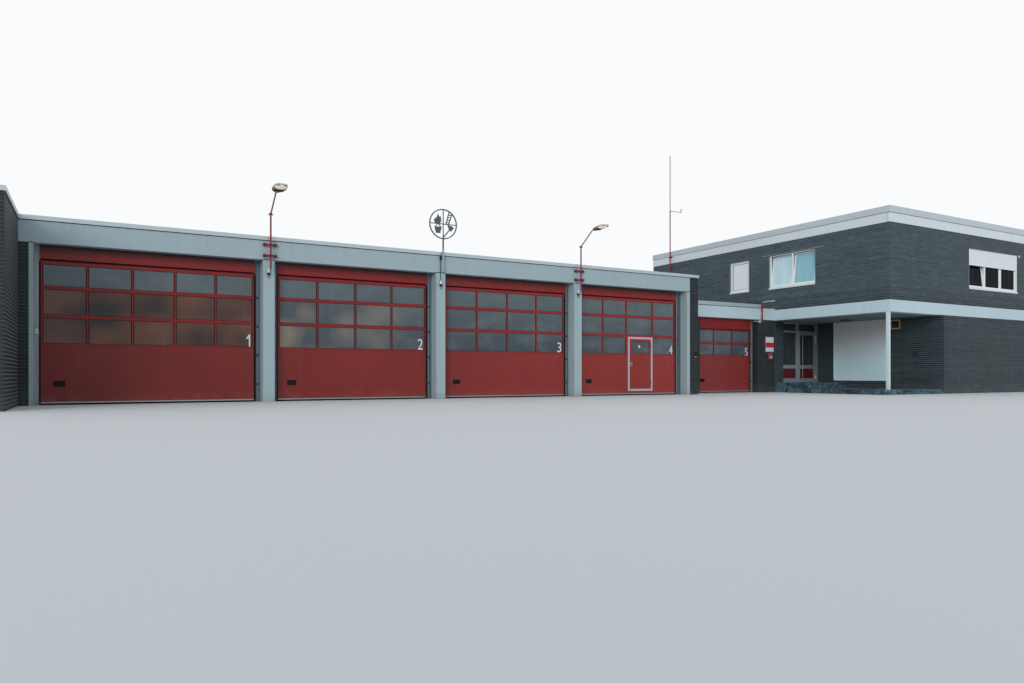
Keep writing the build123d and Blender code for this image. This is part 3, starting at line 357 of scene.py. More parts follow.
def weathered(name, colour, roughness, nodes, grain_depth, looks, **weather):
    """A material whose colour, roughness and grain come from the shared group, kept as the
    finish of the CAD nodes named. The colour is a code or a colour source."""
    material = bpy.data.materials.new(name)
    material.use_nodes = True
    tree = material.node_tree
    made = add(tree, "Group", {"Colour": colour(tree) if callable(colour) else colour,
                               "Roughness": roughness, **weather}, None, node_tree=weathering)
    if grain_depth:
        looks["Normal"] = add(tree, "Bump", {"Distance": grain_depth, "Strength": 1.0,
                                             "Height": made["Height"]})
    feed(tree, tree.nodes["Principled BSDF"],
         {"Base Color": made["Colour"], "Roughness": made["Roughness"], **looks})
    cad_finishes.update(dict.fromkeys(nodes.split(), material))
    return material


def coated(name, colour, roughness, grain_depth, nodes="", metallic=0.0, specular=0.5, **weather):
    """A weathered opaque finish with the group's grain as its bump."""
    return weathered(name, colour, roughness, nodes, grain_depth,
                     {"Metallic": metallic, "Specular IOR Level": specular}, **weather)


def glass(name, colour, roughness, transmission, ior, nodes):
    """Smooth glass with faint dust."""
    weathered(name, colour, roughness, nodes, 0, {"Transmission Weight": transmission, "IOR": ior},
              Stain="#aab4b8", Drift=0.12, Scale=0.6, Streaks=0.05, Splash=0.0)


def storey_shade(tree, colour, hall_share, upper_share=1.7):
    """A wall colour scaled by the place: painted shade makes it darker along the hall and the
    link and a shade darker on the office's street front; it is lighter on the office's upper storey."""
    _, x, y, z = axes(tree)
    upper = span(tree, z, 3.2, 4.4, 0.95, upper_share)
    # painted shade: darker on the street front and along the hall and the link
    front = span(tree, y, -8.262, -8.25, 0.84, 1.0)
    hall = span(tree, x, -19.13, -19.12, hall_share * 1.2, hall_share)
    office = math_node(tree, "SUBTRACT", times(tree, upper, front), hall)
    within = span(tree, x, 8.08, 8.105)
    return scaled(tree, colour, math_node(tree, "MULTIPLY_ADD", office, within, hall))


def brick_colour(tree):
    """Anthracite to green-grey, one tone for each brick with faint flame marks. The storey above
    the concrete band is lighter, and the hall's bricks are the darkest, which is painted shade."""
    ramp = tree.nodes.new("ShaderNodeValToRGB")
    stops = ((0.0, "#1c272b"), (0.45, "#253239"), (0.85, "#2b3a40"), (1.0, "#394a4f"))
    while len(ramp.color_ramp.elements) < len(stops):
        ramp.color_ramp.elements.new(0.5)
    for element, (at, code) in zip(ramp.color_ramp.elements, stops):
        element.position = at
        element.color = (*srgb(code), 1)
    tree.links.new(tone_of_each(tree), ramp.inputs[0])
    streak = span(tree, noise(tree, object_place(tree), 1.0, 3, 0.6, (1.3, 1.3, 13.0)), 0.48, 0.72)
    marked = mix(tree, times(tree, streak, 0.45), ramp.outputs[0], "#43565a")
    return storey_shade(tree, marked, 0.31)


def mortar_colour(tree):
    """Pale grey bed joints, a little darker than the bricks' lightest tones, with the same painted shade by
    place as the bricks.
    """
    base = mix(tree, noise(tree, object_place(tree), 9.0, 3), "#566368", "#6f7d82")
    return storey_shade(tree, base, 0.46, 1.15)


def stone_colour(tree):
    """Slate-blue stones, one tone for each with pale worn patches."""
    body = mix(tree, tone_of_each(tree), "#13212a", "#476675")
    worn = span(tree, noise(tree, object_place(tree), 5.0, 5, 0.65), 0.52, 0.7)
    return mix(tree, times(tree, worn, 0.5), body, "#7b9ca8")


def by_place(axis, colour, *steps):
    """A colour source that changes along an axis (0, 1, 2 for x, y, z): a first colour, then
    steps as a start, an end and the colour from there on."""
    def source(tree, mixed=colour):
        place = axes(tree)[1 + axis]
        for start, end, code in steps:
            mixed = mix(tree, span(tree, place, start, end), mixed, code)
        return mixed
    return source


def guide_colour_with_painted_light(tree):
    """Dull steel with faint rust, paler on the first guide as painted light, where the street lights it
    from the side.
    """
    place, x, _, _ = axes(tree)
    rust = span(tree, noise(tree, place, 2.0, 4, 0.6, (3, 3, 0.7)), 0.5, 0.7, 0.0, 0.5)
    pale = mix(tree, rust, "#8b959a", "#84706b")
    return mix(tree, span(tree, x, -18.86, -18.84), pale, "#55676d")


def leaf_colour(tree):
    """Panels below the panes, a brighter red on the glazed sections' rails. Panels and rails brighten
    towards the right as painted light, the panels also with faint random fading.
    """
    place, x, _, z = axes(tree)
    faded = span(tree, noise(tree, place, 0.35, 3), 0.35, 0.65)
    # painted light: the leaves brighten from left to right
    fade_and_painted_light = math_node(tree, "MULTIPLY_ADD", faded, 0.25, span(tree, x, -13.5, -3.5, 0.0, 0.75))
    panel = mix(tree, fade_and_painted_light, "#6b1f1c", "#8f2e2a")
    rail = mix(tree, span(tree, x, -13.5, -1.0), "#841c20", "#9a2426")
    return mix(tree, span(tree, z, 1.493, 1.497), panel, rail)


def door_panes_with_painted_reflections(tree):
    """Grey panes with a cloudy haze. Paler in the top row, a painted sky reflection, and warm copper and
    cream blotches at the first two doors, a painted reflection.
    """
    place, x, _, z = axes(tree)
    # painted sky reflection: paler towards the top row
    base = mix(tree, span(tree, z, 1.6, 3.3), "#3f4d54", "#5c696e")
    cloud = span(tree, noise(tree, place, 0.8, 4, 0.6, (1, 1, 2.2)), 0.42, 0.68)
    hazy = mix(tree, times(tree, cloud, 0.4), base, "#78848a")
    # painted reflection: warm blotches on the first two doors
    glow = noise(tree, place, 0.9, 1, 0.4, (1, 1, 1.3))
    copper = mix(tree, span(tree, glow, 0.34, 0.74), "#291f1d", "#733e2a")
    cream = mix(tree, span(tree, glow, 0.36, 0.7), "#4c555a", "#9a8a78")
    first = span(tree, x, -13.68, -13.72, 0.0, 0.85)
    second = span(tree, x, -8.48, -12.9, 0.0, 0.8)
    warm_painted_reflection = mix(tree, first, mix(tree, second, hazy, cream), copper)
    return mix(tree, span(tree, z, 2.9, 2.86), hazy, warm_painted_reflection)


def window_panes_with_painted_light(tree):
    """Pale sky-blue panes on the left wall, tealer in the one nearest the street, with faint
    curtain folds; the pale sky-blue over the curtains is a painted sky reflection, and the dark panes in
    front are painted shade."""
    place, x, y, _ = axes(tree)
    folds = span(tree, noise(tree, place, 1.0, 3, 0.5, (7.0, 7.0, 0.35)), 0.4, 0.6)
    curtain = mix(tree, times(tree, folds, 0.5), "#c4e4ec", "#e2f1f4")
    teal = mix(tree, times(tree, folds, 0.15), "#92c4d0", "#c6dfe5")
    double = mix(tree, span(tree, y, -3.8, -3.78), teal, curtain)
    pale = mix(tree, span(tree, y, -2.2, -1.9), double, "#eff7f9")
    # painted shade: the street front's panes are dark
    return mix(tree, span(tree, x, 8.4, 8.6), pale, "#0f181c")


# Finishes: name, colour, roughness, depth of the grain, CAD nodes that wear it
brick = coated("anthracite_brick", brick_colour, 0.72, 0.0016, Drift=0.25, Scale=0.5, Splash=0.35,
               Grain=120.0, Stain="#6d7778")
mortar = coated("grey_mortar", mortar_colour, 0.9, 0.002, Drift=0.2, Splash=0.3, Grain=260.0,
                Stain="#6d7778")
coated("painted_concrete", "#9caeb4", 0.75, 0.0012, "piers hall_fascia", Drift=0.16, Scale=0.9,
       Splash=0.45, Reach=0.35, Grain=90.0, Stain="#5f6a6a")
coated("painted_canopy", "#b9cdd4", 0.7, 0.001, "link_fascia canopy_band", Drift=0.12, Scale=0.7,
       Streaks=0.12, Splash=0.0, Grain=90.0, Stain="#6d7c80")
coping_metal = coated("coping_metal", "#b4c1c6", 0.42, 0.0003, "hall_coping link_coping", 0.35,
                      Drift=0.14, Splash=0.0, Grain=200.0, Stain="#6f7b7d")
roof_felt = coated("roof_felt", "#4c4e50", 0.95, 0.004, "hall_roof link_roof office_roof", Drift=0.35,
                   Scale=0.7, Streaks=0.0, Splash=0.0, Grain=240.0)
coated("smoothed_screed", "#8f8e8a", 0.7, 0.001, "vehicle_floors office_floor", Drift=0.25, Streaks=0.0)
leaf_wear = {"Drift": 0.16, "Streaks": 0.06, "Splash": 0.3, "Reach": 0.4, "Grain": 320.0,
             "Stain": "#8d6f66"}
red_leaf = coated("red_door_lacquer", leaf_colour, 0.42, 0.0006,
                  "bay_door_1 bay_door_2 bay_door_3 bay_door_4 wicket_leaf wicket_fittings",
                  specular=0.3, **leaf_wear)
coated("red_link_door_lacquer", by_place(2, "#80211f", (1.568, 1.572, "#8e2022")), 0.38, 0.0006,
       "link_door", **leaf_wear)
# Painted shadow: the lintels darken towards the top, under the fascia
coated("red_lintel_lacquer_with_painted_shadow", by_place(2, "#82201f", (3.66, 3.9, "#2a0b0d")), 0.42, 0.0005,
       "door_lintels", specular=0.3, Drift=0.16, Splash=0.0)
dark_red = coated("dark_red_lacquer", "#560f1d", 0.4, 0.0003, "entrance_panel entrance_door_panel",
                  specular=0.3, Drift=0.12, Streaks=0.04)
glass("door_pane_glass", door_panes_with_painted_reflections, 0.06, 0.15, 1.35, "door_glazing wicket_glass")
glass("window_pane_glass", window_panes_with_painted_light, 0.04, 0.1, 1.08, "window_glass")
glass("entrance_pane_glass", "#363a3b", 0.04, 0.15, 1.25, "entrance_glass entrance_door_glass")
guide_steel = coated("guide_steel", guide_colour_with_painted_light, 0.5, 0.0004, "door_guides", 0.3, Drift=0.25,
                     Streaks=0.12, Splash=0.3)
coated("dull_pull_steel", "#7d8589", 0.4, 0.0002, "entrance_door_fittings", 0.7)
coated("anodised_aluminium", "#9aa6ac", 0.38, 0.0003, "door_bottom_rails entrance_frame entrance_door",
       0.55, Drift=0.12, Streaks=0.08)
white_metal = coated("white_lacquered_metal", "#c6d6dc", 0.45, 0.0003, "porch_column", Drift=0.1,
                     Streaks=0.08, Splash=0.25)
coated("wicket_frame_lacquer", "#a9b0b8", 0.45, 0.0003, "wicket_frame", Splash=0.3)
soffit = coated("grey_soffit", "#818c8e", 0.8, 0.0006, "upper_floor", Drift=0.12, Streaks=0.0)
coated("weathered_white_sheet", "#d3dadb", 0.5, 0.0004, "roof_fascia", Drift=0.1, Stain="#8b9494")
roof_edge_metal = coated("roof_edge_metal", "#b9c4c9", 0.5, 0.0004, "roof_coping", Drift=0.12,
                         Stain="#8b9494")
white_plastic = coated("white_window_plastic", "#e2e6e8", 0.35, 0.0002, "window_frames window_sashes",
                       Drift=0.06, Streaks=0.06)
coated("white_shutter_plastic", "#dbe0e2", 0.45, 0.0003, "roller_shutter", Drift=0.08, Streaks=0.08)
stone = coated("rough_step_stone", stone_colour, 0.85, 0.006, "porch_steps", Drift=0.45, Scale=2.2,
               Grain=34.0)
# Painted light: bluish white low on the boards, pinkish grey higher up, under the canopy
white_boards = coated("white_painted_boards", by_place(2, "#d8f5fd", (1.3, 2.9, "#ece3e1")), 0.55,
                      0.0006, "boarded_panel", Drift=0.1, Streaks=0.05, Stain="#9c958f")
hatch_wood = coated("varnished_wood", "#d6a868", 0.5, 0.0008, "side_hatch", Drift=0.35, Scale=6.0,
                    Streaks=0.2)
coated("weathered_lamp_red", by_place(2, "#8e1526", (4.55, 4.75, "#7d4351")), 0.45, 0.0003,
       "lamp_poles", specular=0.25, Drift=0.25, Scale=3.0)
post_colour = by_place(1, "#b4bcbe", (-3.09, -3.07, "#8e1526"), (-3.012, -3.008, "#a3b6bd"))
coated("weathered_post_red", post_colour, 0.45, 0.0003, "bracket_post", specular=0.3, Drift=0.25,
       Scale=3.0)
coated("lamp_grey", "#a9a3a3", 0.45, 0.0003, "lamp_heads", Drift=0.2, Scale=4.0)
coated("emblem_grey", by_place(2, "#98a5ab", (4.675, 4.685, "#505b60")), 0.6, 0.0004, "emblem",
       specular=0.3, Drift=0.3, Scale=4.0)
mast_colour = by_place(2, "#8c2a34", (7.0, 7.4, "#74434c"), (9.2, 9.6, "#6d5a65"),
                       (10.7, 10.75, "#8c4c57"), (11.1, 11.15, "#6f7480"))
coated("mast_paint", mast_colour, 0.5, 0.0003, "antenna_mast", specular=0.2, Drift=0.3)
coated("pale_fitting_plastic", "#ccd0d1", 0.45, 0.0002, "wall_fittings", Drift=0.1)
# Black rubber for the seals; the same black also paints shadow gaps under the copings, the lintels and at
# the pier heads
black_rubber_and_painted_shadow = coated("black_rubber_and_painted_shadow", "#0d0f11", 0.8, 0.0004, specular=0.15, Drift=0.3, Stain="#35342f")
numeral_white = coated("numeral_white", "#d2dade", 0.5, 0.0002, Drift=0.05)
black_plastic = coated("black_plastic", "#0c0e10", 0.55, 0.0003, specular=0.2, Drift=0.2, Splash=0.1,
                       Stain="#2c2c2a")
# Dark steel; the same dark also paints the shadow line under the office's roof coping and the shade in the
# lamps' gear trays
dark_steel_and_painted_shadow = coated("dark_oiled_steel_and_painted_shadow", "#23292c", 0.5, 0.0004, metallic=0.4, Drift=0.3)
guide_edge = coated("galvanised_guide_edge", "#8b979c", 0.45, 0.0004, metallic=0.4, Drift=0.3,
                    Streaks=0.25, Stain="#6b4a3c")
pale_joint = coated("pale_pointing", "#788487", 0.85, 0.001, Drift=0.3, Scale=3.0)
pale_steel = coated("pale_galvanised_steel", "#aeb8bc", 0.45, 0.0003, metallic=0.4, Drift=0.2)
signal_red = coated("signal_red_enamel", "#b3202a", 0.35, 0.0002, Drift=0.08, Streaks=0.04)
blue_enamel = coated("dark_blue_enamel", "#1d3346", 0.35, 0.0002, Drift=0.1)
smoked_shade = coated("smoked_shade", "#14171a", 0.3, 0.0002, Drift=0.1)
nozzle_grey = coated("nozzle_grey", "#57545c", 0.5, 0.0003, Drift=0.2)
aged_sealant = coated("aged_sealant", "#7d5d54", 0.8, 0.0006, specular=0.2, Drift=0.3, Scale=3.0)
pearl_glass = coated("pearl_glass", "#c3c9c2", 0.25, 0.0001, Drift=0.06)
lamp_cream = coated("lamp_bowl_cream", "#fbe6cd", 0.25, 0.0002, Drift=0.1, Scale=3.0)
feed(lamp_cream.node_tree, lamp_cream.node_tree.nodes["Principled BSDF"],
     {"Emission Color": "#fbdcb6", "Emission Strength": 0.35})
dark_pane = coated("dark_pane", "#14181b", 0.15, 0.0001, Drift=0.2)

# Nodes without a finish of their own are the walls, seen as joints between the bricks
for name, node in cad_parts.items():
    node.data.materials.clear()
    node.data.materials.append(cad_finishes.get(name, mortar))

# Brickwork: courses of real bricks on every outer brick face
course, brick_pitch, bed_joint, head_joint = 1 / 12, 0.25, 0.012, 0.006
brick_proud, brick_edge, shortest_brick, lowest_brick = 0.006, 0.003, 0.02, 0.015


def bricks(length, bottom, top, holes=()):
    """Bricks in stretcher bond on a face, each odd course shifted by half a brick. Bricks are
    cut by the face's edges and by its openings, as rows of (u0, u1, z0, z1)."""
    rows = np.arange(math.floor(bottom / course), math.ceil(top / course))
    columns = np.arange(-1, math.ceil(length / brick_pitch) + 1)
    row, column = [a.ravel() for a in np.meshgrid(rows, columns, indexing="ij")]
    u0 = (column + 0.5 * (row % 2)) * brick_pitch + head_joint / 2
    z0 = row * course + bed_joint / 2
    rects = np.stack([u0, u0 + brick_pitch - head_joint, z0, z0 + course - bed_joint], 1)
    rects[:, :2] = rects[:, :2].clip(0, length)
    rects[:, 2:] = rects[:, 2:].clip(bottom, top)
    for left, right, low, high in holes:
        inside = ((rects[:, 1] > left) & (rects[:, 0] < right)
                  & (rects[:, 3] > low) & (rects[:, 2] < high))
        cut, rects = rects[inside], rects[~inside]
        beside = [cut.copy() for side in range(4)]
        beside[0][:, 1] = left
        beside[1][:, 0] = right
        for part in beside[2:]:
            part[:, :2] = part[:, :2].clip(left, right)
        beside[2][:, 3] = low
        beside[3][:, 2] = high
        rects = np.concatenate([rects, *beside])
    return rects[(rects[:, 1] - rects[:, 0] > shortest_brick) & (rects[:, 3] - rects[:, 2] > lowest_brick)]


street, rear, left_side, right_side = (1, 0, 0), (-1, 0, 0), (0, -1, 0), (0, 1, 0)


def brickwork(name, faces):
    """Bricks of several faces as one piece, each face as its start, direction, length, bottom,
    top and, if it has any, its openings."""
    points, quads = joined([relief((*start, 0), across, bricks(*face), brick_proud, brick_edge)
                            for start, across, *face in faces])
    rows = np.round(points[::8, 2] / course).astype(int)
    tone = np.repeat(0.5 * random.rand(len(rows)) + 0.5 * random.rand(rows.max() + 1)[rows], 8)
    piece(name, points, quads, brick, "dark_brick", tone=tone)


def mirrored(holes, length):
    """Openings measured from the other end of a face."""
    return [(length - b, length - a, low, high) for a, b, low, high in holes]


# Openings of the office, as start and end along the wall, sill and head; in the porch they are
# the landing, the boarding and the hatch
double_window, single_window = (3.27, 5.66, 4.54, 6.0), (6.79, 7.95, 4.56, 5.98)
street_window, right_window = (5.293, 9.033, 4.32, 5.96), (8.1, 10.49, 4.54, 6.0)
rear_windows = [(1.9, 4.29, 4.54, 6.0), (7.4, 9.79, 4.54, 6.0)]
porch_holes = [(0, 1.51, 0, 0.4), (0.86, 3.54, 0.49, 3.125), (3.59, 4.04, 2.68, 3.07)]
left_jamb, link_jamb, brick_return, entrance_side = 0.217, 1.339, 0.3, 1.16
link_wall_top, platform_top, landing_top = 3.55, 0.18, 0.4
full, ground, upper = (0, wall_top), (0, band_bottom), (band_top, roof_edge_bottom)

brickwork("wing_and_side_bricks", [
    ((hall_left, hall_rear), left_side, hall_rear - wing_front, *full),
    ((hall_inside_left, wing_front), right_side, hall_front - wing_front, *full),
    ((hall_left, wing_front), street, hall_inside_left - hall_left, *full),
    ((hall_inside_left, hall_front), street, left_jamb, 0, pier_top)])
brickwork("gable_bricks", [
    ((hall_inside_right, hall_front), street, hall_right - hall_inside_right, *full),
    ((hall_right, hall_front), right_side, hall_rear - hall_front, *full,
     [(link_front - hall_front, office_rear - hall_front, 0, link_wall_top)]),
    ((hall_right, hall_rear), rear, hall_right - hall_inside_right, *full),
    ((hall_inside_left, hall_rear), rear, hall_inside_left - hall_left, *full)])
brickwork("rear_bricks", [
    ((hall_inside_right, hall_rear), rear, hall_inside_right - hall_inside_left, 0, pier_top,
     [(hall_inside_right - left - pier_width, hall_inside_right - left, 0, pier_top)
      for left in pier_lefts]),
    ((office_left, office_rear), rear, office_left - link_left_edge, *ground)])
brickwork("link_bricks", [
    ((hall_right, link_front), street, link_jamb, *ground),
    ((hall_right + link_jamb, link_front), right_side, brick_return, *ground),
    ((pillar_left, link_front), street, office_left - pillar_left, *ground),
    ((pillar_left, link_front + brick_return), left_side, brick_return, *ground),
    ((office_left, link_front), right_side, entrance_wall - link_front, landing_top, band_bottom),
    ((office_left, entrance_wall), street, entrance_side, landing_top, band_bottom)])
brickwork("porch_bricks", [
    ((porch_wall, entrance_wall), left_side, entrance_wall - office_front, platform_top, band_bottom,
     porch_holes),
    ((porch_wall, office_front), street, office_right - porch_wall, *ground)])
brickwork("office_street_bricks", [
    ((office_left, office_front), street, office_length, *upper, [street_window]),
    ((office_left, office_rear), left_side, office_depth, *upper,
     mirrored([double_window, single_window], office_depth))])
brickwork("office_right_bricks", [
    ((office_right, office_front), right_side, office_depth, *storey, [right_window])
    for storey in (ground, upper)])
brickwork("office_rear_bricks", [
    ((office_right, office_rear), rear, office_length, *storey, mirrored(rear_windows, office_length))
    for storey in (ground, upper)])

# Rubber, foot strips and lift cups of the five leaves; the black head strips under the lintels also paint
# the shadow gap there
door_faces = [(*leaf, leaf_front) for leaf in leaves] + [(*link_leaf, link_leaf_front)]
cup_low, cup_high, cup_width, cup_inset = 0.46, 0.58, 0.23, 0.28
cup_depth, cup_lip, cup_wall = 0.022, 0.012, 0.004
head_rows, side_rows, foot_rows, cup_rows = [], [], [], []
for left, right, front in door_faces:
    low, high, top = (3.54, 3.577, 3.53) if front == leaf_front else (2.656, 2.682, 2.66)
    head_rows.append((left, front - 0.034, low, right, front - 0.003, high))
    side_rows += [(left - 0.022, front - 0.006, 0.02, left + 0.013, front + 0.02, top),
                  (right - 0.013, front - 0.008, 0.02, right + 0.04, front + 0.02, top)]
    foot_rows.append((left - 0.01, front - 0.012, 0.0, right + 0.01, front + 0.03, 0.043))
    start, end, back = left + cup_inset, left + cup_inset + cup_width, front + cup_depth
    cup_rows += [(start, back - cup_wall, cup_low, end, back + 0.001, cup_high),
                 *rim((start - cup_lip, front - 0.004, cup_low - cup_lip),
                      (end + cup_lip, back, cup_high + cup_lip), cup_lip + cup_wall, other_cut=cup_lip)]
trim("door_head_seals_and_painted_shadow", head_rows, black_rubber_and_painted_shadow, "guide_steel", 0.008)
trim("door_side_seals", side_rows, black_rubber_and_painted_shadow, "guide_steel", 0.004)
trim("door_foot_seals", foot_rows, black_rubber_and_painted_shadow, "guide_steel", 0.01)
trim("lift_cups", cup_rows, black_plastic, "guide_steel", 0.002)

# Strip between the fourth leaf's mullion and the wicket's frame
fourth_left, fourth_right = leaves[3]
wicket_low, wicket_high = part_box("wicket_frame")
trim("wicket_side_strip", [(fourth_left + 2.1, leaf_front - 0.003, 1.5, wicket_low[0] + 0.002,
                            leaf_front + 0.045, wicket_high[2])], red_leaf, "red_panel", 0.003)

# Tongues in the lower seam of the leaves, a little below the panels' face
seam_runs = [*door_faces[:3], door_faces[4], (fourth_left, wicket_low[0], leaf_front),
             (wicket_high[0], fourth_right, leaf_front)]
trim("door_seam_tongues", [(left + 0.002, front + 0.0025, 0.797, right - 0.002, front + 0.03, 0.803)
                           for left, right, front in seam_runs], red_leaf, "red_panel", 0.001)

# Thin black gaskets round every pane of the sectional doors
door_stile, door_mullion, pane_recess, gasket, lap = 0.055, 0.048, 0.02, 0.01, 0.0065
hall_pane_rows = [(1.513, 2.14), (2.216, 2.843), (2.919, 3.45)]
link_pane_rows = [(1.578, 2.042), (2.118, 2.62)]
equal_columns = {0: 5, 1: 4, 2: 4, 4: 3}
wicket_mullions = (1.025, 2.08, 3.31)
gasket_rows = []
for number, (left, right, front) in enumerate(door_faces):
    count = equal_columns.get(number)
    middles = ([left + (right - left) * k / count for k in range(1, count)] if count
               else [left + m for m in wicket_mullions])
    edges = [left + door_stile - door_mullion / 2, *middles, right - door_stile + door_mullion / 2]
    columns = [(a + door_mullion / 2, b - door_mullion / 2) for a, b in zip(edges, edges[1:])]
    for low, high in (link_pane_rows if front == link_leaf_front else hall_pane_rows):
        for start, end in columns:
            if (front == leaf_front and start < wicket_high[0] and end > wicket_low[0]
                    and low < wicket_high[2] - 0.05):
                continue
            gasket_rows += rim((start, front + pane_recess - 0.006, low),
                               (end, front + pane_recess + 0.001, high), gasket)
            gasket_rows += [(start - lap, front - 0.0025, low, start + 0.001, front + 0.004, high),
                            (end - 0.001, front - 0.0025, low, end + lap, front + 0.004, high)]
trim("pane_gaskets", gasket_rows, black_rubber_and_painted_shadow, "guide_steel", 0.002)

# Bay numbers on the lowest right-hand pane of each leaf
numeral_inset, numeral_width, numeral_thickness = 0.105, 0.165, 0.004


def numeral(text, right, bottom, height, front):
    """A numeral as thin raised figures: its outline is stretched to its width and height, its
    thickness lies along y, and its front stands proud of the pane."""
    curve = bpy.data.curves.new("numeral_outline", "FONT")
    curve.body = text
    curve.extrude = 0.01
    made = linked("numeral_outline", curve)
    mesh = bpy.data.meshes.new_from_object(made)
    bpy.data.objects.remove(made)
    points = np.empty(len(mesh.vertices) * 3)
    mesh.vertices.foreach_get("co", points)
    points = points.reshape(-1, 3)
    mesh.calc_loop_triangles()
    faces = np.empty(len(mesh.loop_triangles) * 3, np.int32)
    mesh.loop_triangles.foreach_get("vertices", faces)
    bpy.data.meshes.remove(mesh)
    u, v, w = ((points - points.min(0)) / (points.max(0) - points.min(0))).T
    return np.stack([right - numeral_width * (1 - u), front - numeral_thickness * w,
                     bottom + height * v], 1), [faces.reshape(-1, 3)]


def first_numeral(right, bottom, height, front):
    """The figure one as a thin plate: a stem with a flag, given as outline points in shares of
    its height."""
    outline = np.array([(0.0, 0.7), (0.0, 0.58), (0.2, 0.74), (0.2, 0.0), (0.31, 0.0), (0.31, 1.0),
                        (0.22, 1.0)])
    count = len(outline)
    across, up = outline[:, 0] - 0.31, outline[:, 1]
    points = np.concatenate([np.stack([right + height * across, np.full(count, y), bottom + height * up], 1)
                             for y in (front, front - numeral_thickness)])
    return points, [ring_walls(2, count)[:, ::-1], np.array([(0, 1, 2, 6), (2, 3, 4, 5)]) + count,
                    np.array([(2, 5, 6)]) + count]


numeral_parts = []
for n, (left, right, front) in enumerate(door_faces):
    bottom, height = (1.556, 0.35) if n == 4 else (1.528, 0.335)
    place = (right - numeral_inset, bottom, height, front + pane_recess + 0.0005)
    numeral_parts.append(numeral(str(n + 1), *place) if n else first_numeral(*place))
piece("bay_numerals", *joined(numeral_parts), numeral_white, "white_panel")

# Bolted brackets, lip and track edge of the guides; the wing wall hides the first guide
bracket_rows, lip_rows = [], []
for (left, right, front), (opening_left, opening_right) in zip(door_faces, openings):
    top = pier_top if front == leaf_front else band_bottom
    for start, end in ((opening_left, left), (right, opening_right)):
        if end > first_bay_left + 0.5:
            middle = (start + end) / 2
            bracket_rows += [(middle - 0.022, front - 0.002, z, middle + 0.022, front + 0.012, z + 0.07)
                             for z in np.arange(0.45, top - 0.3, 0.8)]
    lip_rows += [(start, front - proud, 0, end, front + 0.02, top) for start, end, proud in (
        (opening_left, opening_left + 0.016, 0.004), (opening_right - 0.016, opening_right, 0.004),
        (right + 0.085, right + 0.097, 0.002))]
trim("guide_brackets", bracket_rows, dark_steel_and_painted_shadow, "guide_steel", 0.003)
trim("guide_lips", lip_rows, guide_edge, "guide_steel", 0.003)

# Wicket: spot on the pane, ring and plate round the handle, gasket round the glass
wicket_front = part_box("wicket_leaf")[0][1]
gasket_low, gasket_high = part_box("wicket_glass")
pane_face = gasket_low[1]


def disc(middle, radii, thickness, sides=32):
    """A flat oval plate facing -y, its rim eased by a third of its thickness."""
    angle = np.linspace(0, 2 * np.pi, sides, endpoint=False)
    rings = [(1.0, 0.0), (1.0, -0.67 * thickness), (1 - 0.33 * thickness / max(radii), -thickness)]
    points = np.concatenate([np.stack([radii[0] * share * np.cos(angle), np.full(sides, y),
                                       radii[1] * share * np.sin(angle)], 1) for share, y in rings])
    return points + middle, [ring_walls(3, sides)[:, ::-1], (2 * sides + np.arange(sides))[None]]


piece("wicket_pane_spot", *disc((-0.266, pane_face, 1.788), (0.042, 0.055), 0.003), numeral_white,
      "white_panel", "wicket_door")
rosette = np.array((wicket_low[0] + 0.142, wicket_front - 0.001, 1.13))
piece("wicket_lock_ring", *disc(rosette, (0.062, 0.062), 0.01), pale_steel, "handle_steel", "wicket_door")
piece("wicket_lock_plate", *disc(rosette - (0, 0.0095, 0), (0.038, 0.038), 0.002), dark_steel_and_painted_shadow,
      "handle_steel", "wicket_door")
trim("wicket_pane_gasket", rim((gasket_low[0], pane_face - 0.008, gasket_low[2]),
                               (gasket_high[0], pane_face + 0.001, gasket_high[2]), 0.012),
     black_rubber_and_painted_shadow, "guide_steel", 0.002, "wicket_door")

# Coping: a black strip below as a painted shadow line, sleeves over the joints, dark joints on the piers
# with their painted shadow gap
low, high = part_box("hall_coping")
link_low, link_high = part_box("link_coping")
line_start, line_end, link_line_end = low[0] + 0.02, hall_right - 0.002, link_high[0] - 0.7
trim("coping_shadow_lines", [(x0, y0, z - 0.016, x1, y1, z + 0.002) for x0, x1, y0, y1, z in (
    (line_start, line_end, hall_front - 0.012, hall_front + 0.05, low[2]),
    (line_start, line_end, hall_rear - 0.05, hall_rear + 0.012, low[2]),
    (link_low[0], link_line_end, link_front - 0.012, link_front + 0.05, link_low[2]))],
     black_rubber_and_painted_shadow, "coping_metal", 0.003)
sleeve_step, sleeve_reach = 3.0, 0.35
trim("coping_sleeves", [
    *crossings(0, np.arange(hall_left + 2.1, hall_right, sleeve_step), 0.055,
               (hall_front - 0.034, hall_front + sleeve_reach), (high[1] - sleeve_reach, high[1] - 0.001),
               low[2] - 0.003, high[2] + 0.003),
    (5.05, link_front - 0.034, link_low[2] - 0.003, 5.16, link_front + sleeve_reach,
     link_high[2] + 0.003)], coping_metal, "coping_metal", 0.003)
joint_ends = [(left - 0.001, left + pier_width + 0.001) for left in pier_lefts]
joint_ends += [(hall_inside_right - 0.146, hall_inside_right), (first_bay_left - 0.087, first_bay_left)]
trim("pier_head_joints_and_painted_shadow", [(start, -0.003, -0.012, end, 0.01, 0.01) for start, end in joint_ends],
     black_rubber_and_painted_shadow, "grey_concrete", 0.002, at=(0, hall_front, pier_top))

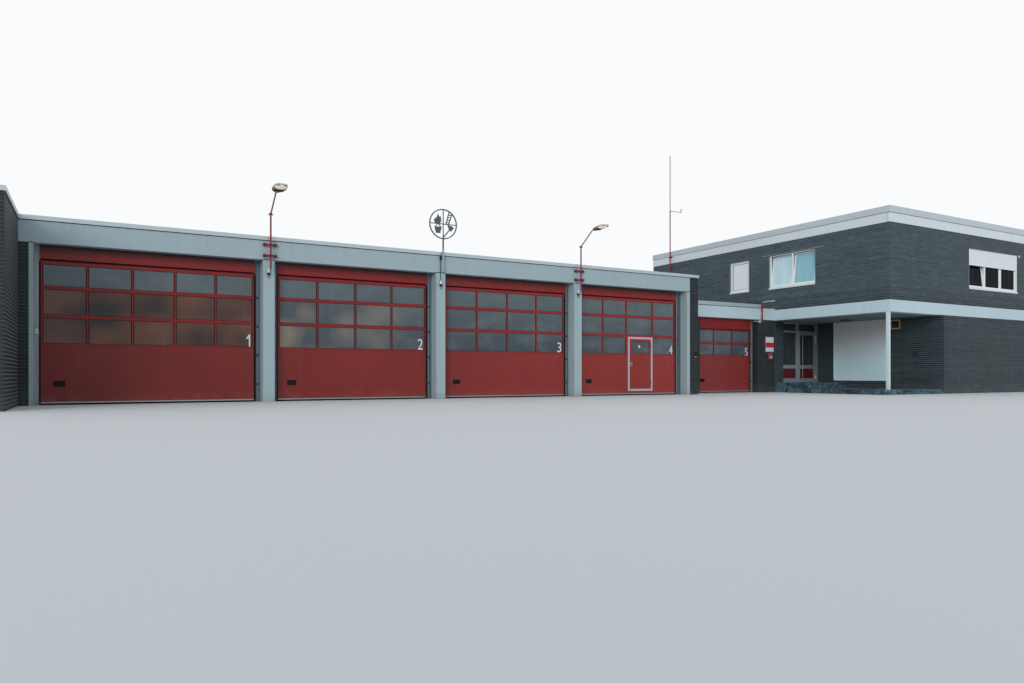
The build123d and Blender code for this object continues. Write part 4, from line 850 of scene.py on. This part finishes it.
# Roof edge of the office: sleeves on the coping, butt joints in the white sheets, and dark strips under the
# coping as painted shadow lines
low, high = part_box("roof_coping")
edge_low, edge_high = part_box("roof_fascia")
trim("roof_edge_sleeves", [
    *crossings(0, np.arange(office_left + 1.9, office_right, sleeve_step), 0.05,
               (low[1] + 0.001, low[1] + 0.3), (high[1] - 0.3, high[1] + 0.003), low[2] - 0.002,
               high[2] + 0.002),
    *crossings(1, np.arange(office_front + 2.2, office_rear, sleeve_step), 0.05,
               (low[0] - 0.003, low[0] + 0.3), (high[0] - 0.3, high[0] - 0.001), low[2] - 0.002,
               high[2] + 0.002)], roof_edge_metal, "white_metal", 0.003)
sheet_width, joint_rows = 1.5, []
for axis, start, end in ((0, office_left + 1.0, office_right), (1, office_front + 1.2, office_rear)):
    near, far = edge_low[1 - axis], edge_high[1 - axis]
    joint_rows.extend(crossings(axis, np.arange(start, end, sheet_width), 0.003,
                                (near - 0.0015, near + 0.01), (far - 0.01, far + 0.0015),
                                edge_low[2], edge_high[2]))
trim("roof_edge_joints", joint_rows, roof_edge_metal, "white_metal", 0.001)
trim("roof_edge_shadow_lines", rim((edge_low[0] - 0.002, edge_low[1] - 0.002, edge_high[2] - 0.016),
                                   (edge_high[0] + 0.002, edge_high[1] + 0.002, edge_high[2] + 0.001),
                                   0.012, 0, 1, 0.006, 0.002), dark_steel_and_painted_shadow, "white_metal", 0.001)
trim("roof_corner_joint", [(edge_low[0] - 0.002, office_front + 0.082, edge_low[2], edge_low[0] + 0.01,
                            office_front + 0.088, edge_high[2] - 0.016)], dark_steel_and_painted_shadow, "white_metal", 0.001)

# Windows, measured from the office's corner: sills, lintel strip, seals, gasket, shutter rails, sensor
sill_rows, seal_rows = [], []
for start, end, sill, head in (double_window, single_window):
    sill_rows += [(-0.028, start, sill - 0.012, 0.062, end, sill + 0.022),
                  (-0.028, start, sill - 0.045, -0.014, end, sill + 0.002)]
    seal_rows.append((0.036, start, head - 0.026, 0.061, end, head + 0.001))
start, end, sill, head = street_window
sill_rows += [(start, -0.028, sill - 0.012, end, 0.062, sill + 0.022),
              (start, -0.028, sill - 0.045, end, -0.014, sill + 0.002)]
seal_rows.append((start, 0.001, head - 0.024, end, 0.012, head + 0.001))
shutter_front, shutter_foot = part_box("roller_shutter")[0][1:]
shutter_front -= office_front
shutter_rows = [(start + 0.001, 0.012, sill, start + 0.04, 0.058, head),
                (end - 0.04, 0.012, sill, end - 0.001, 0.058, head),
                (start + 0.04, shutter_front - 0.006, shutter_foot - 0.002, end - 0.04,
                 shutter_front + 0.016, shutter_foot + 0.034)]
sensor_rows = [(end + 0.1, -0.026, 5.865, end + 0.17, 0.002, 5.955),
               (end + 0.12, -0.029, 5.835, end + 0.15, -0.004, 5.87)]
for start, end, sill, _ in rear_windows:
    sill_rows.append((start, office_depth - 0.062, sill - 0.03, end, office_depth + 0.028, sill + 0.02))
start, end, sill, _ = right_window
sill_rows.append((office_length - 0.062, start, sill - 0.03, office_length + 0.028, end, sill + 0.02))
trim("window_sills", sill_rows, white_plastic, "white_plastic", at=office_corner)
start, end, _, head = double_window
trim("window_lintel_strip", [(-0.009, start - 0.4, head + 0.004, 0.02, end + 0.4, head + 0.018)],
     pale_steel, "coping_metal", 0.003, at=office_corner)
trim("window_head_seals", seal_rows, aged_sealant, "coping_metal", 0.003, at=office_corner)
start, end, sill, head = single_window
sash_edge = 0.1193
trim("window_pane_gasket", rim((0.078, start + sash_edge, sill + sash_edge),
                               (0.1, end - sash_edge, head - sash_edge), 0.014, 2, 1, 0, 0.001),
     black_rubber_and_painted_shadow, "white_plastic", 0.002, at=office_corner)
trim("shutter_guides", shutter_rows, white_plastic, "white_plastic", 0.003, at=office_corner)
trim("wall_sensor", sensor_rows, white_plastic, "fitting_plastic", 0.008, at=office_corner)

# Porch: boards with joints and a frame, hatch frame and pane, column plates
board_bottom, board_top, board_start, board_end = 0.49, 3.125, -3.26, -5.94
board_count, board_frame, board_gap, board_back = 16, 0.045, 0.0015, porch_wall - 0.03
board_width = (board_start - board_end - 2 * board_frame) / board_count
board_rects = [(board_frame + k * board_width + board_gap, board_frame + (k + 1) * board_width - board_gap,
                board_bottom + board_frame, board_top - 0.002) for k in range(board_count)]
piece("porch_boards", *relief((board_back, board_start, 0), left_side, board_rects, 0.004, 0.004),
      white_boards, "white_boards")
frame_foot, _, *frame_sides = rim((board_back - 0.014, board_end, board_bottom),
                                  (board_back + 0.002, board_start, board_top), board_frame, 1, 2)
trim("porch_board_frame", [frame_foot, *frame_sides], white_boards, "white_boards")
low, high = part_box("side_hatch")
trim("hatch_pane", [(low[0] - 0.004, low[1] + 0.05, low[2] + 0.05, low[0] + 0.02, high[1] - 0.05,
                     high[2] - 0.05)], dark_pane, "window_glass", 0.002)
foot_and_head, sides = [rim((low[0] - proud, *low[1:]), (low[0] + 0.01, *high[1:]), 0.052, 1, 2)
                        for proud in (0.014, 0.012)]
trim("hatch_frame", foot_and_head[:2] + sides[2:], hatch_wood, "hatch_wood")
low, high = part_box("porch_column")
plate_right, plate_back = high[0] + 0.03, high[1] + 0.03
trim("column_plates", [
    (low[0] - 0.01, low[1] - 0.01, low[2], plate_right, plate_back, low[2] + 0.012),
    (low[0] + 0.002, low[1] - 0.006, high[2] - 0.012, plate_right, plate_back, high[2])],
     white_metal, "white_metal", 0.003)

# Rough stones on the fronts of the platform and the landing, and slabs on their tops
platform_left, platform_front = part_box("porch_steps")[0][:2]
platform_back, landing_end = -3.91, entrance_wall - 0.55
stone_proud, stone_joint, shortest_stone, slab_pitch, slab_joint = 0.012, 0.005, 0.06, 0.6, 0.004


def stones(length, bottom, top, width):
    """Rectangles of rough stones along a riser, each of its own length."""
    edges = [0.0]
    while edges[-1] < length:
        edges.append(edges[-1] + width * (0.6 + 0.9 * random.rand()))
    edges = np.minimum(edges, length)
    return [(a + stone_joint, b - stone_joint, bottom, top) for a, b in zip(edges[:-1], edges[1:])
            if b - a > shortest_stone]


def rough(origin, across, rects):
    """Split-faced stones: every rectangle becomes a grid of 7 by 4 points that is highest in the
    middle, falls to the wall at its rim, and is roughened by seeded random heights."""
    u0, u1, z0, z1 = np.asarray(rects, float).T[:, :, None, None]
    s, t = np.meshgrid(np.linspace(0, 1, 7), np.linspace(0, 1, 4), indexing="ij")
    swell = np.minimum(1, 5 * np.minimum(np.minimum(s, 1 - s), np.minimum(t, 1 - t) * 0.8))
    height = swell * (0.45 + 0.55 * random.rand(len(u0), 7, 4)) * stone_proud
    i, j = [a.ravel() for a in np.meshgrid(np.arange(6), np.arange(3), indexing="ij")]
    quads = np.stack([i * 4 + j, (i + 1) * 4 + j, (i + 1) * 4 + j + 1, i * 4 + j + 1], 1)
    faces = quads[None] + np.arange(len(u0))[:, None, None] * 28
    return (on_face(origin, across, u0 + (u1 - u0) * s, z0 + (z1 - z0) * t, height),
            [faces.reshape(-1, 4)])


platform_run = ((platform_left, platform_front, 0), street, porch_wall - platform_left)
landing_run = ((office_left, platform_back, 0), street, porch_wall - office_left)
platform_end = ((platform_left, platform_back, 0), left_side, platform_back - platform_front)
landing_side_run = ((office_left, landing_end, 0), left_side, landing_end - platform_back)
points, faces = joined([rough(start, across, stones(length, bottom, top, width))
                        for (start, across, length), bottom, top, width in (
    (platform_run, 0.004, 0.09, 0.42), (platform_run, 0.094, 0.178, 0.36),
    (platform_end, 0.004, 0.178, 0.4), (landing_run, 0.184, 0.288, 0.44),
    (landing_run, 0.292, 0.398, 0.38), (landing_side_run, 0.02, 0.398, 0.45))])
piece("step_risers", points, faces, stone, "step_stone",
      tone=np.repeat(random.rand(len(points) // 28), 28))
slab_rows = [(x + slab_joint, y + slab_joint, top - 0.004, min(x + slab_pitch - slab_joint, porch_wall),
              min(y + slab_pitch - slab_joint, back), top + 0.004)
             for left, ys, back, top in (
                 (platform_left, np.arange(platform_front, platform_back - 0.05, slab_pitch), platform_back,
                  platform_top),
                 (office_left, platform_back + slab_pitch * np.arange(3), entrance_wall, landing_top))
             for x in np.arange(left, porch_wall - 0.05, slab_pitch) for y in ys]
slab_lows, slab_highs = np.hsplit(np.array(slab_rows), 2)
piece("step_slabs", *blocks(slab_lows, slab_highs, 0.003), stone, "step_stone",
      tone=np.repeat(random.rand(len(slab_rows)), 24))

# Small fittings: bands of the bare signs, plates, covers and lights
sign_low, sign_high, sign_place = 1.738, 2.403, (office_left - 0.617, link_front - 0.012, 0)
trim("sign_red_plate", [(0.002, -0.002, sign_low + 0.002, 0.518, 0.002, sign_high - 0.002)], signal_red,
     "red_panel", 0.001, at=sign_place)
trim("sign_white_bands", [(0.022, -0.004, 2.152, 0.498, 0.001, sign_high - 0.02),
                          (0.022, -0.004, sign_low + 0.02, 0.498, 0.001, 1.936)],
     white_metal, "white_panel", 0.001, at=sign_place)
call_point = (office_left - 0.43, link_front - 0.06, 1.447)
trim("call_point_case", [(-0.003, -0.004, -0.003, 0.179, 0.06, 0.22)], signal_red, "red_panel", 0.01,
     at=call_point)
trim("call_point_plate", [(0.07, -0.01, 0.03, 0.15, 0, 0.11)], numeral_white, "white_panel", 0.006,
     at=call_point)
trim("plaque_plate", [(-0.014, -0.002, 1.488, -0.002, 0.292, 1.682)], blue_enamel, "fitting_plastic",
     0.003, at=(porch_wall, office_front + 1.02, 0))
trim("key_switch", [(-0.163, -0.054, 1.487, -0.077, 0.001, 1.613),
                    (-0.145, -0.06, 1.51, -0.095, -0.05, 1.59)],
     black_plastic, "fitting_plastic", 0.006, at=(hall_right, hall_front, 0))
piece("key_switch_spot", *disc((hall_right - 0.12, hall_front - 0.006, 1.437), (0.02, 0.02), 0.008, 24),
      numeral_white, "fitting_plastic")
trim("left_switch_case", [(0.008, -0.043, 1.737, 0.092, 0.012, 1.863),
                          (0.03, -0.048, 1.765, 0.07, -0.04, 1.835)],
     pale_steel, "fitting_plastic", 0.006, at=(first_bay_left, leaf_front, 0))
porch_light = (office_left + 1.98, office_front + 3.185, band_bottom)
trim("porch_light_frame", rim((-0.012, -0.012, -0.032), (0.482, 0.482, 0), 0.042, 0, 1, 0, 0.012),
     soffit, "fitting_plastic", at=porch_light)
trim("porch_light_shade", [(0.07, 0.07, -0.065, 0.4, 0.4, 0.004)], smoked_shade, "fitting_plastic", 0.012,
     at=porch_light)
trim("wall_lamp_case", [(-0.004, -0.094, 2.98, 0.084, 0.001, 3.104)], pale_steel, "fitting_plastic",
     0.012, at=(link_opening[1] + 0.033, link_front, 0))

# Pier lights: black foot with a short tail, and white glass
pier_middles = pier_lefts + pier_width / 2 - 0.015
pier_lights = [(x, hall_front - 0.05, 0) for x in pier_middles]
tubes("pier_light_feet", [upright((3.492, 0.03), (3.5, 0.044), (3.546, 0.044), (3.552, 0.04)),
                          upright((3.4, 0.009), (3.495, 0.009))],
      black_plastic, "fitting_plastic", at=pier_lights)
tubes("pier_light_glasses", [upright((3.55, 0.036), (3.56, 0.041), (3.63, 0.041), (3.655, 0.032),
                                     (3.664, 0.014))], pearl_glass, "fitting_plastic", at=pier_lights)

# Yard lamps: nozzle and cable tail, bolts, clamps, and the head's rim, gear tray and lens; the gear tray's
# dark partly paints the shade under the head
lamp_xs = pier_lefts[[0, 2]] + pier_width / 2 + 0.02
lamp_y, bracket_heights, arm_reach = hall_front - 0.15, (4.02, 4.32), 0.15
lamp_brackets = [(x, hall_front - 0.07, z) for x in lamp_xs for z in bracket_heights]
tubes("lamp_pole_nozzles", [([(0, 0, 3.8), (0, 0, 3.785), (0, 0, 3.665), (0, 0, 3.65), (0, 0.03, 3.56)],
                             [0.028, 0.034, 0.028, 0.014, 0.009])],
      nozzle_grey, "lamp_grey", at=[(x, lamp_y, 0) for x in lamp_xs])
bolt_runs, end_rows = [], []
for side in (-1, 1):
    arm = side * arm_reach
    bolt_runs += [([(side * 0.176, 0, 0), (side * 0.19, 0, 0)], 0.016),
                  ([(arm, -0.02, -0.012), (arm, 0.074, -0.012)], 0.014)]
    end_rows.append((arm - 0.03, -0.026, -0.044, arm + 0.03, 0.072, 0.04))
tubes("lamp_bracket_bolts", bolt_runs, dark_steel_and_painted_shadow, "lamp_grey", 6, lamp_brackets)
trim("lamp_bracket_ends", end_rows, dark_red, "lamp_red", 0.01, at=lamp_brackets)
tubes("lamp_pole_clamps", [upright((-0.024, 0.028), (-0.018, 0.032), (0.018, 0.032), (0.024, 0.028))],
      dark_red, "lamp_red", at=[(x, lamp_y, z) for x in lamp_xs for z in bracket_heights])
head_start, head_height, head_tilt = lamp_y - 0.74, 5.61, math.radians(5)
head_length, head_half = 0.68, 0.175
head_outline = np.array([(0, 0.26), (0.08, 0.42), (0.2, 0.8), (0.38, 1), (0.62, 1), (0.82, 0.93),
                         (0.95, 0.78), (1, 0.56)])


def head_place(x, along, across, up):
    """Points of a lamp head from its own directions: along the head, across it and up."""
    y = head_start - along * math.cos(head_tilt) + up * math.sin(head_tilt)
    z = head_height + along * math.sin(head_tilt) + up * math.cos(head_tilt)
    return np.stack(np.broadcast_arrays(x + across, y, z), -1)


def head_ring(x, grow, shrink, levels):
    """A band round the head's outline: the outline scaled about the head's middle at each level."""
    half = head_outline * (head_length, head_half)
    outline = np.concatenate([half, half[::-1] * (1, -1)])
    middle = np.array([head_length / 2, 0])
    points = np.concatenate([head_place(x, *((outline - middle) * scale + middle).T, level)
                             for scale, level in zip((grow, grow, shrink, shrink), levels)])
    return points, [ring_walls(4, len(outline), closed=True)]


def head_lens(x, start, reach, width, top, depth, rings=6, sides=28):
    """A bowl below the head: half an ellipsoid, flat at its rim and deepest in its middle."""
    share = np.linspace(1, 0.05, rings)[:, None]
    angle = np.linspace(0, 2 * np.pi, sides, endpoint=False)
    along = start + reach / 2 + share * reach / 2 * np.cos(angle)
    up = np.broadcast_to(top - depth * np.sqrt(1 - share ** 2), along.shape)
    points = head_place(x, along.ravel(), (share * width * np.sin(angle)).ravel(), up.ravel())
    return points, [ring_walls(rings, sides), ((rings - 1) * sides + np.arange(sides))[None]]


def head_block(x, low, high, chamfer):
    """A chamfered block in the head's own directions."""
    points, faces = blocks(np.array([low]), np.array([high]), chamfer)
    return head_place(x, *points.T), [f[:, ::-1] for f in faces]


piece("lamp_head_rims", *joined([head_ring(x, 1.01, 0.96, (-0.036, -0.018, -0.018, -0.036))
                                 for x in lamp_xs]), pale_steel, "lamp_grey")
piece("lamp_lenses", *joined([head_lens(x, 0.335, 0.33, 0.163, -0.031, 0.055) for x in lamp_xs]),
      lamp_cream, "lamp_grey", smooth=True)
piece("lamp_gear_trays_and_painted_shade", *joined([head_block(x, (0.155, -0.128, -0.056), (0.345, 0.128, -0.028), 0.012)
                                  for x in lamp_xs]), dark_steel_and_painted_shadow, "lamp_grey")

# Emblem: clamp beside the sleeve, conduit down to the pier light
emblem_low, emblem_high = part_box("emblem")
emblem_place = ((emblem_low[0] + emblem_high[0]) / 2, hall_front, 0)
light_across = pier_middles[1] - emblem_place[0]
trim("emblem_clamp", [(-0.083, -0.098, 4.316, -0.033, 0.001, 4.446)], dark_steel_and_painted_shadow, "emblem_grey", 0.005,
     at=emblem_place)
tubes("emblem_conduit", [([(-0.062, -0.012, 4.33), (-0.062, -0.012, 3.93), (light_across, -0.012, 3.82),
                           (light_across, -0.03, 3.655)], 0.008)],
      black_rubber_and_painted_shadow, "emblem_grey", 10, emblem_place)

# Roof felt: lapped sheets on the three roofs
lap_rows = []
for roof in ("hall_roof", "link_roof", "office_roof"):
    low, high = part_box(roof)
    lap_rows += [(x, low[1] + 0.01, high[2] - 0.002, x + 0.09, high[1] - 0.01, high[2] + 0.006)
                 for x in np.arange(low[0] + 1.0, high[0] - 0.3, 1.0)]
trim("roof_felt_laps", lap_rows, roof_felt, "roof_felt", 0.003)

# Movement joint where the pillar meets the office
trim("pillar_corner_joint", [(-0.01, -0.008, 0, -0.002, 0.004, band_bottom)], guide_steel,
     "grey_concrete", 0.002, at=(office_left, link_front, 0))

# Flush bed joints along the wing's inner face, where the street sees them at a low angle
trim("wing_bed_joints", [(-0.002, wing_front + 0.01, -0.007, 0.0085, hall_front - 0.004, 0.007)],
     pale_joint, "grey_concrete", 0.001,
     at=[(hall_inside_left, 0, n * course) for n in range(1, math.floor(wall_top / course))])

# Post: sleeve on the arm. Mast: clamp on the roof edge
tubes("post_arm_sleeve", [([(0, -0.16, 0), (0, -0.74, 0)], 0.023),
                          ([(0, -0.735, 0), (0, -0.757, 0)], 0.034)],
      pale_steel, "lamp_grey", at=(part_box("bracket_post")[1][0] - 0.03, link_front, 3.88))
mast_low, mast_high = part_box("antenna_mast")
mast_y = (mast_low[1] + mast_high[1]) / 2
trim("mast_roof_clamp", [(mast_low[0] - 0.012, mast_y - 0.07, 6.79, edge_low[0] + 0.004, mast_y + 0.07,
                          6.85)], dark_red, "mast_paint", 0.008)

# White covers beside the entrance door's hinges
trim("entrance_hinge_covers", [(0, -0.012, low, 0.055, 0.002, high)
                               for low, high in ((0.58, 0.74), (2.24, 2.36), (2.42, 2.6))],
     white_plastic, "white_plastic", 0.005,
     at=(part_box("entrance_door")[1][0] + 0.02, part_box("entrance_frame")[0][1], 0))

# Stage: a pale floor
floor_size, floor_level = 160, -0.002
floor_material = bpy.data.materials.new("pale_floor")
floor_material.use_nodes = True
feed(floor_material.node_tree, floor_material.node_tree.nodes["Principled BSDF"],
     {"Base Color": (0.62, 0.63, 0.63, 1), "Roughness": 0.9})
floor_mesh = bpy.data.meshes.new("stage_floor")
floor_mesh.from_pydata([(x * floor_size, y * floor_size, floor_level)
                        for x, y in ((-1, -1), (1, -1), (1, 1), (-1, 1))], [], [(0, 1, 2, 3)])
floor_mesh.materials.append(floor_material)
stage_floor = linked("stage_floor", floor_mesh)

# Light: an even pale sky, seen white by the camera and by gloss, and one broad soft lamp
world = bpy.data.worlds.new("studio_sky")
scene.world = world
world.use_nodes = True
sky = world.node_tree
sky_light = sky.nodes["Background"]
feed(sky, sky_light, {"Color": (0.86, 0.93, 1.0, 1), "Strength": 0.8})
seen = add(sky, "Background", {"Color": (0.955, 0.965, 0.975, 1), "Strength": 1.0})
ray = add(sky, "LightPath", {}, None)
gloss = math_node(sky, "MAXIMUM", ray["Is Glossy Ray"], ray["Is Transmission Ray"])
looks = math_node(sky, "MAXIMUM", ray["Is Camera Ray"], gloss)
choice = add(sky, "MixShader", {0: looks, 1: sky_light.outputs[0], 2: seen})
feed(sky, sky.nodes["World Output"], {"Surface": choice})

sun_data = bpy.data.lights.new("broad_sun", "SUN")
sun_data.energy = 1.1
sun_data.angle = math.radians(25)
sun_data.color = (1.0, 0.97, 0.93)
sun = linked("broad_sun", sun_data)
sun.rotation_euler = (math.radians(74), 0, math.radians(-42))
